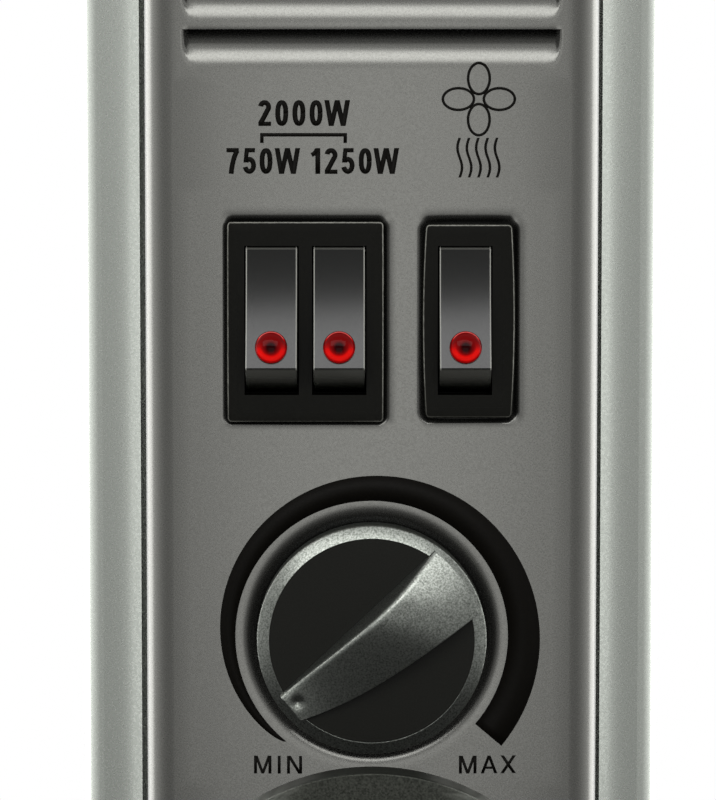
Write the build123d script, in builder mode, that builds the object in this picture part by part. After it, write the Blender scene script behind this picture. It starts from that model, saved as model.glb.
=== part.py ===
from build123d import *
import os
from math import cos, radians, sin, sqrt

# Oil-filled radiator heater with a convector fan.
# The frame: X to the right as the control panel is seen, Y to the rear, Z up, floor at Z = 0.
# The origin lies on the floor under the middle of the heater.

# Fins
FIN_COUNT = 9
FIN_PITCH = 38.0
FIN_WIDTH = 100.0
FIN_HEIGHT = 520.0
FIN_BOTTOM = 68.0
FIN_DEPTH = 33.0
FIN_EDGE_RADIUS = 5.0
LIP_WIDTH = 10.4
LIP_ANGLE = 17.6
FIN_CORNER_RADIUS = 16.0
SHEET = 0.8
CHAMBER_REACH = 7.0
CHAMBER_ROUNDING = 4.0
CHANNEL_WIDTH = 22.0
CHANNEL_X = 14.0
HEADER_INSET = 40.0
HEADER_RADIUS = 19.0
HEADER_BORE = 17.5
HEADER_DOME = 25.0
END_HEADER_REACH = 11.0
PLUG_FLANGE = 2.5

# Control box
COVER_WIDTH = 73.0
COVER_BOTTOM = 78.0
COVER_SHEET = 1.0
COVER_EDGE_RADIUS = 3.0
PANEL_TO_WEB = 75.0
PLATE_GAP = 8.5
PLATE_SHEET = 1.0

# Louvres
LOUVRE_WIDTH = 60.3
LOUVRE_PITCH = 7.2
LOUVRE_HEIGHT = 6.2
LOUVRE_DEPTH = 3.0
LOUVRE_CORNER = 4.5
OUTLET_LOUVRES = 12
INTAKE_LOUVRES = 8
INTAKE_RISE = 60.0

# Places on the panel, measured from the knob's centre
KNOB_Z = 398.0
SWITCH_RISE = 50.8
OUTLET_RISE = 97.2
WINDER_DROP = 52.7

# Rocker switches
BEZEL_HEIGHT = 31.0
BEZEL_THICKNESS = 2.1
BEZEL_CORNER = 0.8
DOUBLE_WIDTH = 25.2
DOUBLE_X = -10.6
DOUBLE_BOW = 0.05
SINGLE_WIDTH = 14.0
SINGLE_X = 15.5
SINGLE_BOW = 0.5
ROCKER_SPACING = 10.8
FAN_ROCKER_X = 14.9
ROCKER_WIDTH = 8.2
ROCKER_RADIUS = 12.15
ROCKER_HALF_FACE = 9.6
ROCKER_TILT = 11.85
PIVOT_DEPTH = 5.0
PIVOT_RISE = 0.67
TRUNNION_RADIUS = 1.3
TRUNNION_REACH = 0.9
LENS_RADIUS = 2.7
LENS_SHIFT = -6.5
SWITCH_BODY_DEPTH = 22.0
POCKET_DEPTH = 1.8
POCKET_SLOPE = 1.2
POCKET_HEIGHT = 35.4
POCKET_RISE = 0.6
DOUBLE_POCKET_WIDTH = 28.4
SINGLE_POCKET_WIDTH = 17.4

# Thermostat
KNOB_RADIUS = 18.4
KNOB_FACE = 6.0
INSERT_RADIUS = 16.2
INSERT_RECESS = 0.7
GRIP_HEIGHT = 13.0
GRIP_ANGLE = 39.0
GRIP_TIP_HALF = 2.6
GRIP_WIDE_HALF = 5.3
GRIP_SHOULDER = 10.5
GRIP_SHOULDER_HALF = 4.7
GRIP_BELLY = 6.4
DISH_RADIUS = 21.7
DISH_FLOOR_RADIUS = 19.2
DISH_DEPTH = 3.0
SHAFT_RADIUS = 3.0
BUSH_RADIUS = 4.9
RUNNING_FIT = 0.05

# Cord winder
WINDER_RADIUS = 36.0
WINDER_STEM_RADIUS = 14.0
WINDER_STEM_LENGTH = 20.0
WINDER_THICKNESS = 7.0

# Handle
HANDLE_FRONT = 32.0
HANDLE_POST = 20.0
HANDLE_GAP = 30.0
GRIP_BAR_WIDTH = 24.0
GRIP_BAR_HEIGHT = 18.0
SADDLE_SHEET = 1.5

# Feet and castors
FOOT_WIDTH = 230.0
FOOT_DEPTH = 46.0
FOOT_SHEET = 2.0
FOOT_FLANGE = 14.0
BOLT_RADIUS = 2.5
BOLT_BEND = 21.8
CASTOR_X = 97.0
CASTOR_TRAIL = 10.0
WHEEL_RADIUS = 18.0
WHEEL_WIDTH = 9.0
WHEEL_GAP = 3.4
AXLE_RADIUS = 2.5
STEM_RADIUS = 5.0
HOOD_CLEARANCE = 1.5
HOOD_SHEET = 2.5

# Places that follow from the sizes above
FIN_TOP = FIN_BOTTOM + FIN_HEIGHT
LOW_HEADER_Z = FIN_BOTTOM + HEADER_INSET
HIGH_HEADER_Z = FIN_TOP - HEADER_INSET
WINDER_REACH = WINDER_STEM_LENGTH + WINDER_THICKNESS
STACK_LENGTH = (FIN_COUNT - 1) * FIN_PITCH
LENGTH = WINDER_REACH + PANEL_TO_WEB + STACK_LENGTH - SHEET / 2 + END_HEADER_REACH + PLUG_FLANGE
PANEL_Y = WINDER_REACH - LENGTH / 2
FIRST_WEB_Y = PANEL_Y + PANEL_TO_WEB
LAST_WEB_Y = FIRST_WEB_Y + STACK_LENGTH
PLATE_FRONT_Y = FIRST_WEB_Y - PLATE_GAP - PLATE_SHEET
COVER_DEPTH = PLATE_FRONT_Y - PANEL_Y
COVER_HEIGHT = FIN_TOP - COVER_BOTTOM
COVER_MIDDLE_Z = (FIN_TOP + COVER_BOTTOM) / 2
SWITCH_Z = KNOB_Z + SWITCH_RISE
OUTLET_Z = KNOB_Z + OUTLET_RISE
INTAKE_Z = COVER_BOTTOM + INTAKE_RISE
WINDER_Z = KNOB_Z - WINDER_DROP
PIVOT_Z = SWITCH_Z + PIVOT_RISE
BEZEL_Y = PANEL_Y + POCKET_DEPTH - BEZEL_THICKNESS
PIVOT_Y = BEZEL_Y + PIVOT_DEPTH
FIRST_HUB_Y = FIRST_WEB_Y - FIN_PITCH / 2

os.makedirs("parts", exist_ok=True)


def save(builder, name):
    """Labels a finished piece and writes it as its own file."""
    builder.part.label = name
    export_step(builder.part, f"parts/{name}.step")


def facing_front(y):
    """The upright plane at depth y: its own x is X, its own y is Z, and it looks out of the panel."""
    return Plane(origin=(0, y, 0), x_dir=(1, 0, 0), z_dir=(0, -1, 0))


def axis_to_rear(z):
    """The line that runs from front to rear at the height z."""
    return Axis((0, 0, z), (0, 1, 0))


# The fins: a tray of sheet steel, open to the front, whose two pressed halves hold the oil channels
def draw_channels(inset):
    """Draws the two upright channels and the round header domes, drawn in by the sheet's thickness."""
    for side in (-1, 1):
        with Locations((side * CHANNEL_X, (LOW_HEADER_Z + HIGH_HEADER_Z) / 2)):
            SlotCenterToCenter(HIGH_HEADER_Z - LOW_HEADER_Z, CHANNEL_WIDTH - 2 * inset, rotation=90)
    with Locations((0, LOW_HEADER_Z), (0, HIGH_HEADER_Z)):
        Circle(HEADER_DOME - inset)


with BuildPart() as oil_shell:
    with BuildSketch(facing_front(-SHEET / 2)):
        draw_channels(0)
    extrude(amount=CHAMBER_REACH, both=True)
    chamfer(oil_shell.faces().filter_by(Axis.Y).edges(), CHAMBER_ROUNDING)

with BuildPart() as oil_space:
    with BuildSketch(facing_front(-SHEET / 2)):
        draw_channels(SHEET)
    extrude(amount=CHAMBER_REACH - SHEET, both=True)
    chamfer(oil_space.faces().filter_by(Axis.Y).edges(), CHAMBER_ROUNDING)


def make_fin(name, web_y, front_reach, rear_reach):
    """One fin, with header stubs that reach this far in front of its web and behind it."""
    middle_y = web_y - SHEET / 2
    lip_y = middle_y - FIN_DEPTH + SHEET
    side_x = (FIN_WIDTH - SHEET) / 2
    lip_run = LIP_WIDTH - SHEET / 2 - FIN_EDGE_RADIUS * (1 - sin(radians(LIP_ANGLE)))
    with BuildPart() as fin:
        with BuildSketch(Plane.XY.offset(FIN_BOTTOM)):
            with BuildLine():
                lip = JernArc(
                    (FIN_WIDTH / 2 - LIP_WIDTH, lip_y), (1, 0), lip_run / sin(radians(LIP_ANGLE)), LIP_ANGLE
                )
                edge = JernArc(lip @ 1, lip % 1, FIN_EDGE_RADIUS, 90 - LIP_ANGLE)
                Line(edge @ 1, (side_x, middle_y - FIN_EDGE_RADIUS))
                bend = JernArc((side_x, middle_y - FIN_EDGE_RADIUS), (0, 1), FIN_EDGE_RADIUS, 90)
                Line(bend @ 1, (0, middle_y))
                mirror(about=Plane.YZ)
            trace(line_width=SHEET)
        extrude(amount=FIN_HEIGHT)
        with BuildSketch(facing_front(web_y)):
            with Locations((0, (FIN_BOTTOM + FIN_TOP) / 2)):
                RectangleRounded(FIN_WIDTH, FIN_HEIGHT, FIN_CORNER_RADIUS)
        extrude(amount=FIN_DEPTH, mode=Mode.INTERSECT)
        with BuildSketch(facing_front(web_y)):
            with Locations((0, (FIN_BOTTOM + FIN_TOP) / 2)):
                with GridLocations(75, 84, 2, 5):
                    SlotOverall(60, 4, rotation=90)
        extrude(amount=SHEET, mode=Mode.SUBTRACT)
        with Locations((0, web_y, 0)):
            add(oil_shell.part)
        with BuildSketch(facing_front(middle_y - front_reach)):
            with Locations((0, LOW_HEADER_Z), (0, HIGH_HEADER_Z)):
                Circle(HEADER_RADIUS)
        extrude(amount=-(front_reach + rear_reach))
        with Locations((0, web_y, 0)):
            add(oil_space.part, mode=Mode.SUBTRACT)
        with BuildSketch(facing_front(middle_y - front_reach)):
            with Locations((0, LOW_HEADER_Z), (0, HIGH_HEADER_Z)):
                Circle(HEADER_BORE)
        extrude(amount=-(front_reach + rear_reach), mode=Mode.SUBTRACT)
    save(fin, name)


for number in range(1, FIN_COUNT + 1):
    last = number == FIN_COUNT
    make_fin(
        f"fin_{number}",
        FIRST_WEB_Y + (number - 1) * FIN_PITCH,
        FIN_PITCH / 2,
        END_HEADER_REACH if last else FIN_PITCH / 2,
    )

# The plugs that close the upper header at both ends and the lower header at the rear
PLUG_DEPTH = 5.0
FIRST_STUB_Y = FIRST_HUB_Y - SHEET / 2
LAST_STUB_Y = LAST_WEB_Y - SHEET / 2 + END_HEADER_REACH
with BuildPart() as header_plugs:
    with BuildSketch(facing_front(LAST_STUB_Y)):
        with Locations((0, LOW_HEADER_Z), (0, HIGH_HEADER_Z)):
            Circle(HEADER_RADIUS + 1)
    extrude(amount=-PLUG_FLANGE)
    with BuildSketch(facing_front(LAST_STUB_Y)):
        with Locations((0, LOW_HEADER_Z), (0, HIGH_HEADER_Z)):
            Circle(HEADER_BORE - RUNNING_FIT)
    extrude(amount=PLUG_DEPTH)
    with BuildSketch(facing_front(FIRST_STUB_Y)):
        with Locations((0, HIGH_HEADER_Z)):
            Circle(HEADER_RADIUS + 1)
    extrude(amount=PLUG_FLANGE)
    with BuildSketch(facing_front(FIRST_STUB_Y)):
        with Locations((0, HIGH_HEADER_Z)):
            Circle(HEADER_BORE - RUNNING_FIT)
    extrude(amount=-PLUG_DEPTH)
save(header_plugs, "header_plugs")

# The heating elements: two steel hairpins in the lower header, brazed into a flange
ELEMENT_RADIUS = 3.2
ELEMENT_X = 7.0
ELEMENT_BEND = 6.0
ELEMENT_LENGTH = 300.0
ELEMENT_PIN = 22.0
FLANGE_RADIUS = 22.0
FLANGE_THICKNESS = 4.0
FLANGE_Y = FIRST_STUB_Y - FLANGE_THICKNESS
for name, x in (("element_low_power", -ELEMENT_X), ("element_high_power", ELEMENT_X)):
    start_y = FLANGE_Y - ELEMENT_PIN
    end_y = FIRST_STUB_Y + ELEMENT_LENGTH
    with BuildPart() as element:
        with BuildLine() as hairpin:
            Line((x, start_y, LOW_HEADER_Z + ELEMENT_BEND), (x, end_y, LOW_HEADER_Z + ELEMENT_BEND))
            ThreePointArc(
                (x, end_y, LOW_HEADER_Z + ELEMENT_BEND),
                (x, end_y + ELEMENT_BEND, LOW_HEADER_Z),
                (x, end_y, LOW_HEADER_Z - ELEMENT_BEND),
            )
            Line((x, end_y, LOW_HEADER_Z - ELEMENT_BEND), (x, start_y, LOW_HEADER_Z - ELEMENT_BEND))
        with BuildSketch(facing_front(start_y)):
            with Locations((x, LOW_HEADER_Z + ELEMENT_BEND)):
                Circle(ELEMENT_RADIUS)
        sweep(path=hairpin.line)
    save(element, name)

with BuildPart() as element_flange:
    with BuildSketch(facing_front(FIRST_STUB_Y)):
        with Locations((0, LOW_HEADER_Z)):
            Circle(FLANGE_RADIUS)
    extrude(amount=FLANGE_THICKNESS)
    with BuildSketch(facing_front(FIRST_STUB_Y)):
        with Locations((0, LOW_HEADER_Z)):
            Circle(HEADER_BORE - RUNNING_FIT)
    extrude(amount=-PLUG_DEPTH)
    with BuildSketch(facing_front(FLANGE_Y)):
        with Locations((0, LOW_HEADER_Z)):
            with GridLocations(2 * ELEMENT_X, 2 * ELEMENT_BEND, 2, 2):
                Circle(ELEMENT_RADIUS + RUNNING_FIT)
    extrude(amount=-(FLANGE_THICKNESS + PLUG_DEPTH), mode=Mode.SUBTRACT)
save(element_flange, "element_flange")

# The mounting plate behind the control box, with bent tabs at its top and bottom
TAB_LENGTH = 16.0
TAB_WIDTH = 60.0
TAB_GAP = 0.2
INTAKE_RADIUS = 28.0
STANDOFF_RADIUS = 3.5
STANDOFF_X = 30.5
STANDOFF_RISE = 40.0
FAN_Z = OUTLET_Z + (OUTLET_LOUVRES - 1) * LOUVRE_PITCH / 2
with BuildPart() as mounting_plate:
    with BuildSketch(facing_front(PLATE_FRONT_Y)):
        with Locations((0, COVER_MIDDLE_Z)):
            Rectangle(COVER_WIDTH, COVER_HEIGHT)
        with Locations((0, LOW_HEADER_Z)):
            Circle(HEADER_RADIUS + 0.4, mode=Mode.SUBTRACT)
        with Locations((0, HIGH_HEADER_Z)):
            Circle(HEADER_RADIUS + 0.4, mode=Mode.SUBTRACT)
        with Locations((0, (INTAKE_Z + KNOB_Z) / 2)):
            with GridLocations(0, 3 * INTAKE_RADIUS, 1, 2):
                Circle(INTAKE_RADIUS, mode=Mode.SUBTRACT)
    extrude(amount=-PLATE_SHEET)
    with BuildSketch(facing_front(PLATE_FRONT_Y)):
        for tab_z in (COVER_BOTTOM + COVER_SHEET + TAB_GAP, FIN_TOP - COVER_SHEET - TAB_GAP - PLATE_SHEET):
            with Locations((0, tab_z + PLATE_SHEET / 2)):
                Rectangle(TAB_WIDTH, PLATE_SHEET)
    extrude(amount=TAB_LENGTH)
    with BuildSketch(Plane.XY.offset(COVER_BOTTOM)):
        with Locations((0, PLATE_FRONT_Y - TAB_LENGTH / 2)):
            with GridLocations(40, 0, 2, 1):
                Circle(1.6)
    extrude(amount=COVER_HEIGHT, mode=Mode.SUBTRACT)
save(mounting_plate, "mounting_plate")

with BuildPart() as plate_standoffs:
    with BuildSketch(facing_front(FIRST_WEB_Y - SHEET)):
        with Locations((0, COVER_MIDDLE_Z)):
            with GridLocations(2 * STANDOFF_X, COVER_HEIGHT - 3 * STANDOFF_RISE, 2, 2):
                Circle(STANDOFF_RADIUS)
    extrude(amount=PLATE_GAP - SHEET)
save(plate_standoffs, "plate_standoffs")

# The louvre's two tools: the blister of sheet behind the panel, and the scoop pressed into its front
with BuildPart() as louvre_blister:
    with BuildSketch(Plane.YZ):
        with BuildLine():
            Polyline(
                (0.2, 0),
                (LOUVRE_DEPTH + COVER_SHEET, 0),
                (COVER_SHEET, -LOUVRE_HEIGHT - 0.6),
                (0.2, -LOUVRE_HEIGHT - 0.6),
                close=True,
            )
        make_face()
    extrude(amount=LOUVRE_WIDTH / 2 + COVER_SHEET, both=True)

with BuildPart() as louvre_scoop:
    with BuildSketch(Plane.YZ):
        with BuildLine():
            Polyline((-0.5, 0), (LOUVRE_DEPTH, 0), (0, -LOUVRE_HEIGHT), (-0.5, -LOUVRE_HEIGHT), close=True)
        make_face()
    extrude(amount=LOUVRE_WIDTH / 2, both=True)
    with BuildSketch(facing_front(-1)) as outline:
        with Locations((0, -LOUVRE_HEIGHT / 2)):
            Rectangle(LOUVRE_WIDTH, LOUVRE_HEIGHT)
        fillet(outline.vertices().group_by(Axis.Y)[0], LOUVRE_CORNER)
    extrude(amount=-(LOUVRE_DEPTH + 2), mode=Mode.INTERSECT)


def pressed_pocket(width, x):
    """The space of a switch pocket: its walls slope from the panel's face to the pocket's floor."""
    with BuildPart(mode=Mode.PRIVATE) as pocket:
        for depth, draw_in in ((-0.5, -POCKET_SLOPE * 0.5 / POCKET_DEPTH), (POCKET_DEPTH, POCKET_SLOPE)):
            with BuildSketch(facing_front(PANEL_Y + depth)):
                with Locations((x, SWITCH_Z + POCKET_RISE)):
                    RectangleRounded(width - 2 * draw_in, POCKET_HEIGHT - 2 * draw_in, 2.8 - draw_in)
        loft()
    return pocket.part


# The front cover: a box of sheet steel, open at the rear, with everything pressed into its front
SWITCH_BODY_HEIGHT = 28.0
SWITCH_HOLE_GAP = 0.2
COVER_SCREW_X = 20.0
COVER_SCREW_RADIUS = 1.6
GLAND_Y = PANEL_Y + 30.0
GLAND_RADIUS = 8.0
STUD_RADIUS = 3.0
double_pocket = pressed_pocket(DOUBLE_POCKET_WIDTH, DOUBLE_X)
single_pocket = pressed_pocket(SINGLE_POCKET_WIDTH, SINGLE_X)
with BuildPart() as front_cover:
    with BuildSketch(facing_front(PANEL_Y)):
        with Locations((0, COVER_MIDDLE_Z)):
            Rectangle(COVER_WIDTH, COVER_HEIGHT)
    extrude(amount=-COVER_DEPTH)
    front_edges = front_cover.faces().sort_by(Axis.Y)[0].edges()
    upright_edges = front_cover.edges().filter_by(Axis.Y)
    fillet(front_edges + upright_edges, COVER_EDGE_RADIUS)
    with BuildSketch(facing_front(PLATE_FRONT_Y)):
        with Locations((0, COVER_MIDDLE_Z)):
            RectangleRounded(
                COVER_WIDTH - 2 * COVER_SHEET,
                COVER_HEIGHT - 2 * COVER_SHEET,
                COVER_EDGE_RADIUS - COVER_SHEET,
            )
    extrude(amount=COVER_DEPTH - COVER_SHEET, mode=Mode.SUBTRACT)
    with BuildSketch(facing_front(PANEL_Y + 0.5)):
        for x, width in ((DOUBLE_X, DOUBLE_POCKET_WIDTH), (SINGLE_X, SINGLE_POCKET_WIDTH)):
            with Locations((x, SWITCH_Z + POCKET_RISE)):
                Rectangle(width, POCKET_HEIGHT)
    extrude(amount=-(POCKET_DEPTH + COVER_SHEET - 0.5))
    with BuildSketch(facing_front(PANEL_Y + 0.5)):
        with Locations((0, KNOB_Z)):
            Circle(DISH_RADIUS)
    extrude(amount=-(DISH_DEPTH + COVER_SHEET - 0.5))
    louvre_rows = [OUTLET_Z + step * LOUVRE_PITCH for step in range(OUTLET_LOUVRES)]
    louvre_rows += [INTAKE_Z + step * LOUVRE_PITCH for step in range(INTAKE_LOUVRES)]
    with Locations([(0, PANEL_Y, z) for z in louvre_rows]):
        add(louvre_blister.part)
    with Locations([(0, PANEL_Y, z) for z in louvre_rows]):
        add(louvre_scoop.part, mode=Mode.SUBTRACT)
    add(double_pocket, mode=Mode.SUBTRACT)
    add(single_pocket, mode=Mode.SUBTRACT)
    with BuildSketch(facing_front(PANEL_Y)):
        for x, width in ((DOUBLE_X, DOUBLE_WIDTH), (SINGLE_X, SINGLE_WIDTH)):
            with Locations((x, SWITCH_Z)):
                Rectangle(width - 2.4, SWITCH_BODY_HEIGHT)
        with Locations((0, KNOB_Z)):
            Circle(BUSH_RADIUS + SWITCH_HOLE_GAP)
        with Locations((0, WINDER_Z)):
            Circle(STUD_RADIUS)
    extrude(amount=-2 * DISH_DEPTH, mode=Mode.SUBTRACT)
    with BuildSketch(Plane.YZ):
        with BuildLine():
            Polyline(
                (PANEL_Y - 0.5, KNOB_Z),
                (PANEL_Y - 0.5, KNOB_Z + DISH_RADIUS + 0.4),
                (PANEL_Y + DISH_DEPTH, KNOB_Z + DISH_FLOOR_RADIUS),
                (PANEL_Y + DISH_DEPTH, KNOB_Z),
                close=True,
            )
        make_face()
    revolve(axis=axis_to_rear(KNOB_Z), mode=Mode.SUBTRACT)
    with BuildSketch(Plane.XY.offset(COVER_BOTTOM)):
        with Locations((0, PLATE_FRONT_Y - TAB_LENGTH / 2)):
            with GridLocations(2 * COVER_SCREW_X, 0, 2, 1):
                Circle(COVER_SCREW_RADIUS)
    extrude(amount=COVER_HEIGHT, mode=Mode.SUBTRACT)
    with BuildSketch(Plane.XY.offset(COVER_BOTTOM)):
        with Locations((0, GLAND_Y)):
            Circle(GLAND_RADIUS)
    extrude(amount=COVER_SHEET, mode=Mode.SUBTRACT)
save(front_cover, "front_cover")

SCREW_HEAD_RADIUS = 3.2
SCREW_HEAD_HEIGHT = 1.8
SCREW_LENGTH = 6.0
with BuildPart() as cover_screws:
    for seat_z, outward in ((FIN_TOP, 1), (COVER_BOTTOM, -1)):
        for radius, length in ((SCREW_HEAD_RADIUS, SCREW_HEAD_HEIGHT), (COVER_SCREW_RADIUS, -SCREW_LENGTH)):
            with BuildSketch(Plane.XY.offset(seat_z)):
                with Locations((0, PLATE_FRONT_Y - TAB_LENGTH / 2)):
                    with GridLocations(2 * COVER_SCREW_X, 0, 2, 1):
                        Circle(radius)
            extrude(amount=outward * length)
save(cover_screws, "cover_screws")

GLAND_FLANGE = 2.0
GLAND_LENGTH = 14.0
CORD_RADIUS = 4.2
with BuildPart() as cord_gland:
    with BuildSketch(Plane.XY.offset(COVER_BOTTOM)):
        with Locations((0, GLAND_Y)):
            Circle(GLAND_RADIUS + 2)
    extrude(amount=-GLAND_FLANGE)
    with BuildSketch(Plane.XY.offset(COVER_BOTTOM - GLAND_FLANGE)):
        with Locations((0, GLAND_Y)):
            Circle(GLAND_RADIUS - 0.1)
    extrude(amount=GLAND_LENGTH)
    with BuildSketch(Plane.XY.offset(COVER_BOTTOM - GLAND_FLANGE)):
        with Locations((0, GLAND_Y)):
            Circle(CORD_RADIUS)
    extrude(amount=GLAND_LENGTH, mode=Mode.SUBTRACT)
save(cord_gland, "cord_gland")

# The switches: a bezel on the pocket's floor, a body through it, and a round well for each rocker
ROCKER_SIDE_GAP = 0.25
WELL_RADIUS = ROCKER_RADIUS + 0.25
WELL_RELIEF = 11.8


def make_housing(name, x, width, bow, rocker_places):
    """A switch body whose wells follow the rockers' swing, and whose bezel has sides that bow out a little."""
    left, right = x - width / 2, x + width / 2
    low, high = SWITCH_Z - BEZEL_HEIGHT / 2, SWITCH_Z + BEZEL_HEIGHT / 2
    with BuildPart() as housing:
        with BuildSketch(facing_front(BEZEL_Y)) as bezel:
            with BuildLine():
                Line((left, low), (right, low))
                ThreePointArc((right, low), (right + bow, SWITCH_Z), (right, high))
                Line((right, high), (left, high))
                ThreePointArc((left, high), (left - bow, SWITCH_Z), (left, low))
            make_face()
            fillet(bezel.vertices(), BEZEL_CORNER)
        extrude(amount=-BEZEL_THICKNESS)
        fillet(housing.faces().sort_by(Axis.Y)[0].edges(), 0.4)
        with BuildSketch(facing_front(BEZEL_Y + BEZEL_THICKNESS)):
            with Locations((x, SWITCH_Z)):
                Rectangle(width - 2.4 - 2 * SWITCH_HOLE_GAP, SWITCH_BODY_HEIGHT - 2 * SWITCH_HOLE_GAP)
        extrude(amount=-SWITCH_BODY_DEPTH)
        for rocker_x in rocker_places:
            well_half = ROCKER_WIDTH / 2 + ROCKER_SIDE_GAP
            with BuildSketch(Plane.YZ.offset(rocker_x)):
                with Locations((PIVOT_Y, PIVOT_Z)):
                    Circle(WELL_RADIUS)
            extrude(amount=well_half, both=True, mode=Mode.SUBTRACT)
            with BuildSketch(facing_front(BEZEL_Y)):
                with Locations((rocker_x, SWITCH_Z - WELL_RELIEF / 2)):
                    Rectangle(2 * well_half, WELL_RELIEF)
            extrude(amount=-PIVOT_DEPTH, mode=Mode.SUBTRACT)
            with BuildSketch(Plane.YZ.offset(rocker_x)):
                with Locations((PIVOT_Y, PIVOT_Z)):
                    Circle(TRUNNION_RADIUS + RUNNING_FIT)
            extrude(amount=well_half + TRUNNION_REACH, both=True, mode=Mode.SUBTRACT)
    save(housing, name)


low_power_x = DOUBLE_X - ROCKER_SPACING / 2
high_power_x = DOUBLE_X + ROCKER_SPACING / 2
make_housing("double_switch_housing", DOUBLE_X, DOUBLE_WIDTH, DOUBLE_BOW, (low_power_x, high_power_x))
make_housing("single_switch_housing", SINGLE_X, SINGLE_WIDTH, SINGLE_BOW, (FAN_ROCKER_X,))

# The rockers stand with their lower ends out, and each carries a lens in its lower end
ROCKER_FACE = sqrt(ROCKER_RADIUS**2 - ROCKER_HALF_FACE**2)
ROCKER_SKIRT = 1.0
ROCKER_DISH = 0.4
ROCKER_ROUNDING = 0.3
ROCKER_BASE_HALF = 7.0
ROCKER_BASE = -3.0
LENS_DEPTH = 4.0
LENS_DOME = 0.8


def rocker_plane(x):
    """The plane square to a rocker's swing: its own x runs up the face, its own y out of the face."""
    up = (0, sin(radians(ROCKER_TILT)), cos(radians(ROCKER_TILT)))
    return Plane(origin=(x, PIVOT_Y, PIVOT_Z), x_dir=up, z_dir=(1, 0, 0))


def face_plane(x, height):
    """The plane along a rocker's face, this high over its pivot and centred on its lens."""
    side = rocker_plane(x)
    origin = side.origin + side.x_dir * LENS_SHIFT + side.y_dir * height
    return Plane(origin=origin, x_dir=(1, 0, 0), z_dir=side.y_dir)


def make_rocker(name, lens_name, x):
    """A rocker with its two trunnions, and the lens pressed into it."""
    skirt_half = sqrt(ROCKER_RADIUS**2 - ROCKER_SKIRT**2)
    middle_angle = radians(60)
    middle = (ROCKER_RADIUS * sin(middle_angle), ROCKER_RADIUS * cos(middle_angle))
    with BuildPart() as rocker:
        with BuildSketch(rocker_plane(x)):
            with BuildLine():
                ThreePointArc(
                    (-ROCKER_HALF_FACE, ROCKER_FACE),
                    (0, ROCKER_FACE - ROCKER_DISH),
                    (ROCKER_HALF_FACE, ROCKER_FACE),
                )
                ThreePointArc((ROCKER_HALF_FACE, ROCKER_FACE), middle, (skirt_half, ROCKER_SKIRT))
                Polyline(
                    (skirt_half, ROCKER_SKIRT),
                    (ROCKER_BASE_HALF, ROCKER_BASE),
                    (-ROCKER_BASE_HALF, ROCKER_BASE),
                    (-skirt_half, ROCKER_SKIRT),
                )
                ThreePointArc(
                    (-skirt_half, ROCKER_SKIRT), (-middle[0], middle[1]), (-ROCKER_HALF_FACE, ROCKER_FACE)
                )
            make_face()
        extrude(amount=ROCKER_WIDTH / 2, both=True)
        fillet(rocker.edges().filter_by(GeomType.CIRCLE), ROCKER_ROUNDING)
        with BuildSketch(rocker_plane(x)):
            Circle(TRUNNION_RADIUS)
        extrude(amount=ROCKER_WIDTH / 2 + ROCKER_SIDE_GAP + TRUNNION_REACH, both=True)
        with BuildSketch(face_plane(x, ROCKER_FACE)):
            Circle(LENS_RADIUS)
        extrude(amount=-LENS_DEPTH, mode=Mode.SUBTRACT)
    save(rocker, name)
    with BuildPart() as lens:
        with BuildSketch(face_plane(x, ROCKER_FACE - LENS_DEPTH)):
            Circle(LENS_RADIUS - 0.02)
        extrude(amount=LENS_DEPTH + LENS_DOME)
        fillet(lens.edges().filter_by(GeomType.CIRCLE).sort_by(Axis.Y)[0], LENS_DOME - 0.1)
    save(lens, lens_name)


make_rocker("rocker_low_power", "lens_low_power", low_power_x)
make_rocker("rocker_high_power", "lens_high_power", high_power_x)
make_rocker("rocker_fan", "lens_fan", FAN_ROCKER_X)

TERMINAL_WIDTH = 4.8
TERMINAL_SHEET = 0.8
TERMINAL_LENGTH = 8.0
TERMINAL_RISE = 9.0
switch_rear_y = BEZEL_Y + BEZEL_THICKNESS + SWITCH_BODY_DEPTH
with BuildPart() as switch_terminals:
    with BuildSketch(facing_front(switch_rear_y)):
        for rocker_x in (low_power_x, high_power_x, FAN_ROCKER_X):
            with Locations((rocker_x, SWITCH_Z)):
                with GridLocations(0, TERMINAL_RISE, 1, 3):
                    Rectangle(TERMINAL_WIDTH, TERMINAL_SHEET)
    extrude(amount=-TERMINAL_LENGTH)
save(switch_terminals, "switch_terminals")

# The thermostat: a body behind the dish, a shaft through its bush, and the knob on the shaft
THERMOSTAT_WIDTH = 30.0
THERMOSTAT_HEIGHT = 36.0
THERMOSTAT_DEPTH = 22.0
NUT_FLATS = 13.0
NUT_THICKNESS = 2.2
SHAFT_FRONT = 4.6
SHAFT_TAIL = 15.0
dish_back_y = PANEL_Y + DISH_DEPTH + COVER_SHEET
dish_floor_y = PANEL_Y + DISH_DEPTH
with BuildPart() as thermostat_body:
    with BuildSketch(facing_front(dish_back_y)):
        with Locations((0, KNOB_Z)):
            RectangleRounded(THERMOSTAT_WIDTH, THERMOSTAT_HEIGHT, 3)
    extrude(amount=-THERMOSTAT_DEPTH)
    with BuildSketch(facing_front(dish_back_y)):
        with Locations((0, KNOB_Z)):
            Circle(BUSH_RADIUS)
    extrude(amount=COVER_SHEET + NUT_THICKNESS)
    with BuildSketch(facing_front(PANEL_Y)):
        with Locations((0, KNOB_Z)):
            Circle(SHAFT_RADIUS + RUNNING_FIT)
    extrude(amount=-(SHAFT_TAIL + 0.5), mode=Mode.SUBTRACT)
save(thermostat_body, "thermostat_body")

with BuildPart() as thermostat_nut:
    with BuildSketch(facing_front(dish_floor_y)):
        with Locations((0, KNOB_Z)):
            RegularPolygon(NUT_FLATS / 2, 6, major_radius=False)
            Circle(BUSH_RADIUS + RUNNING_FIT, mode=Mode.SUBTRACT)
    extrude(amount=NUT_THICKNESS)
save(thermostat_nut, "thermostat_nut")

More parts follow.
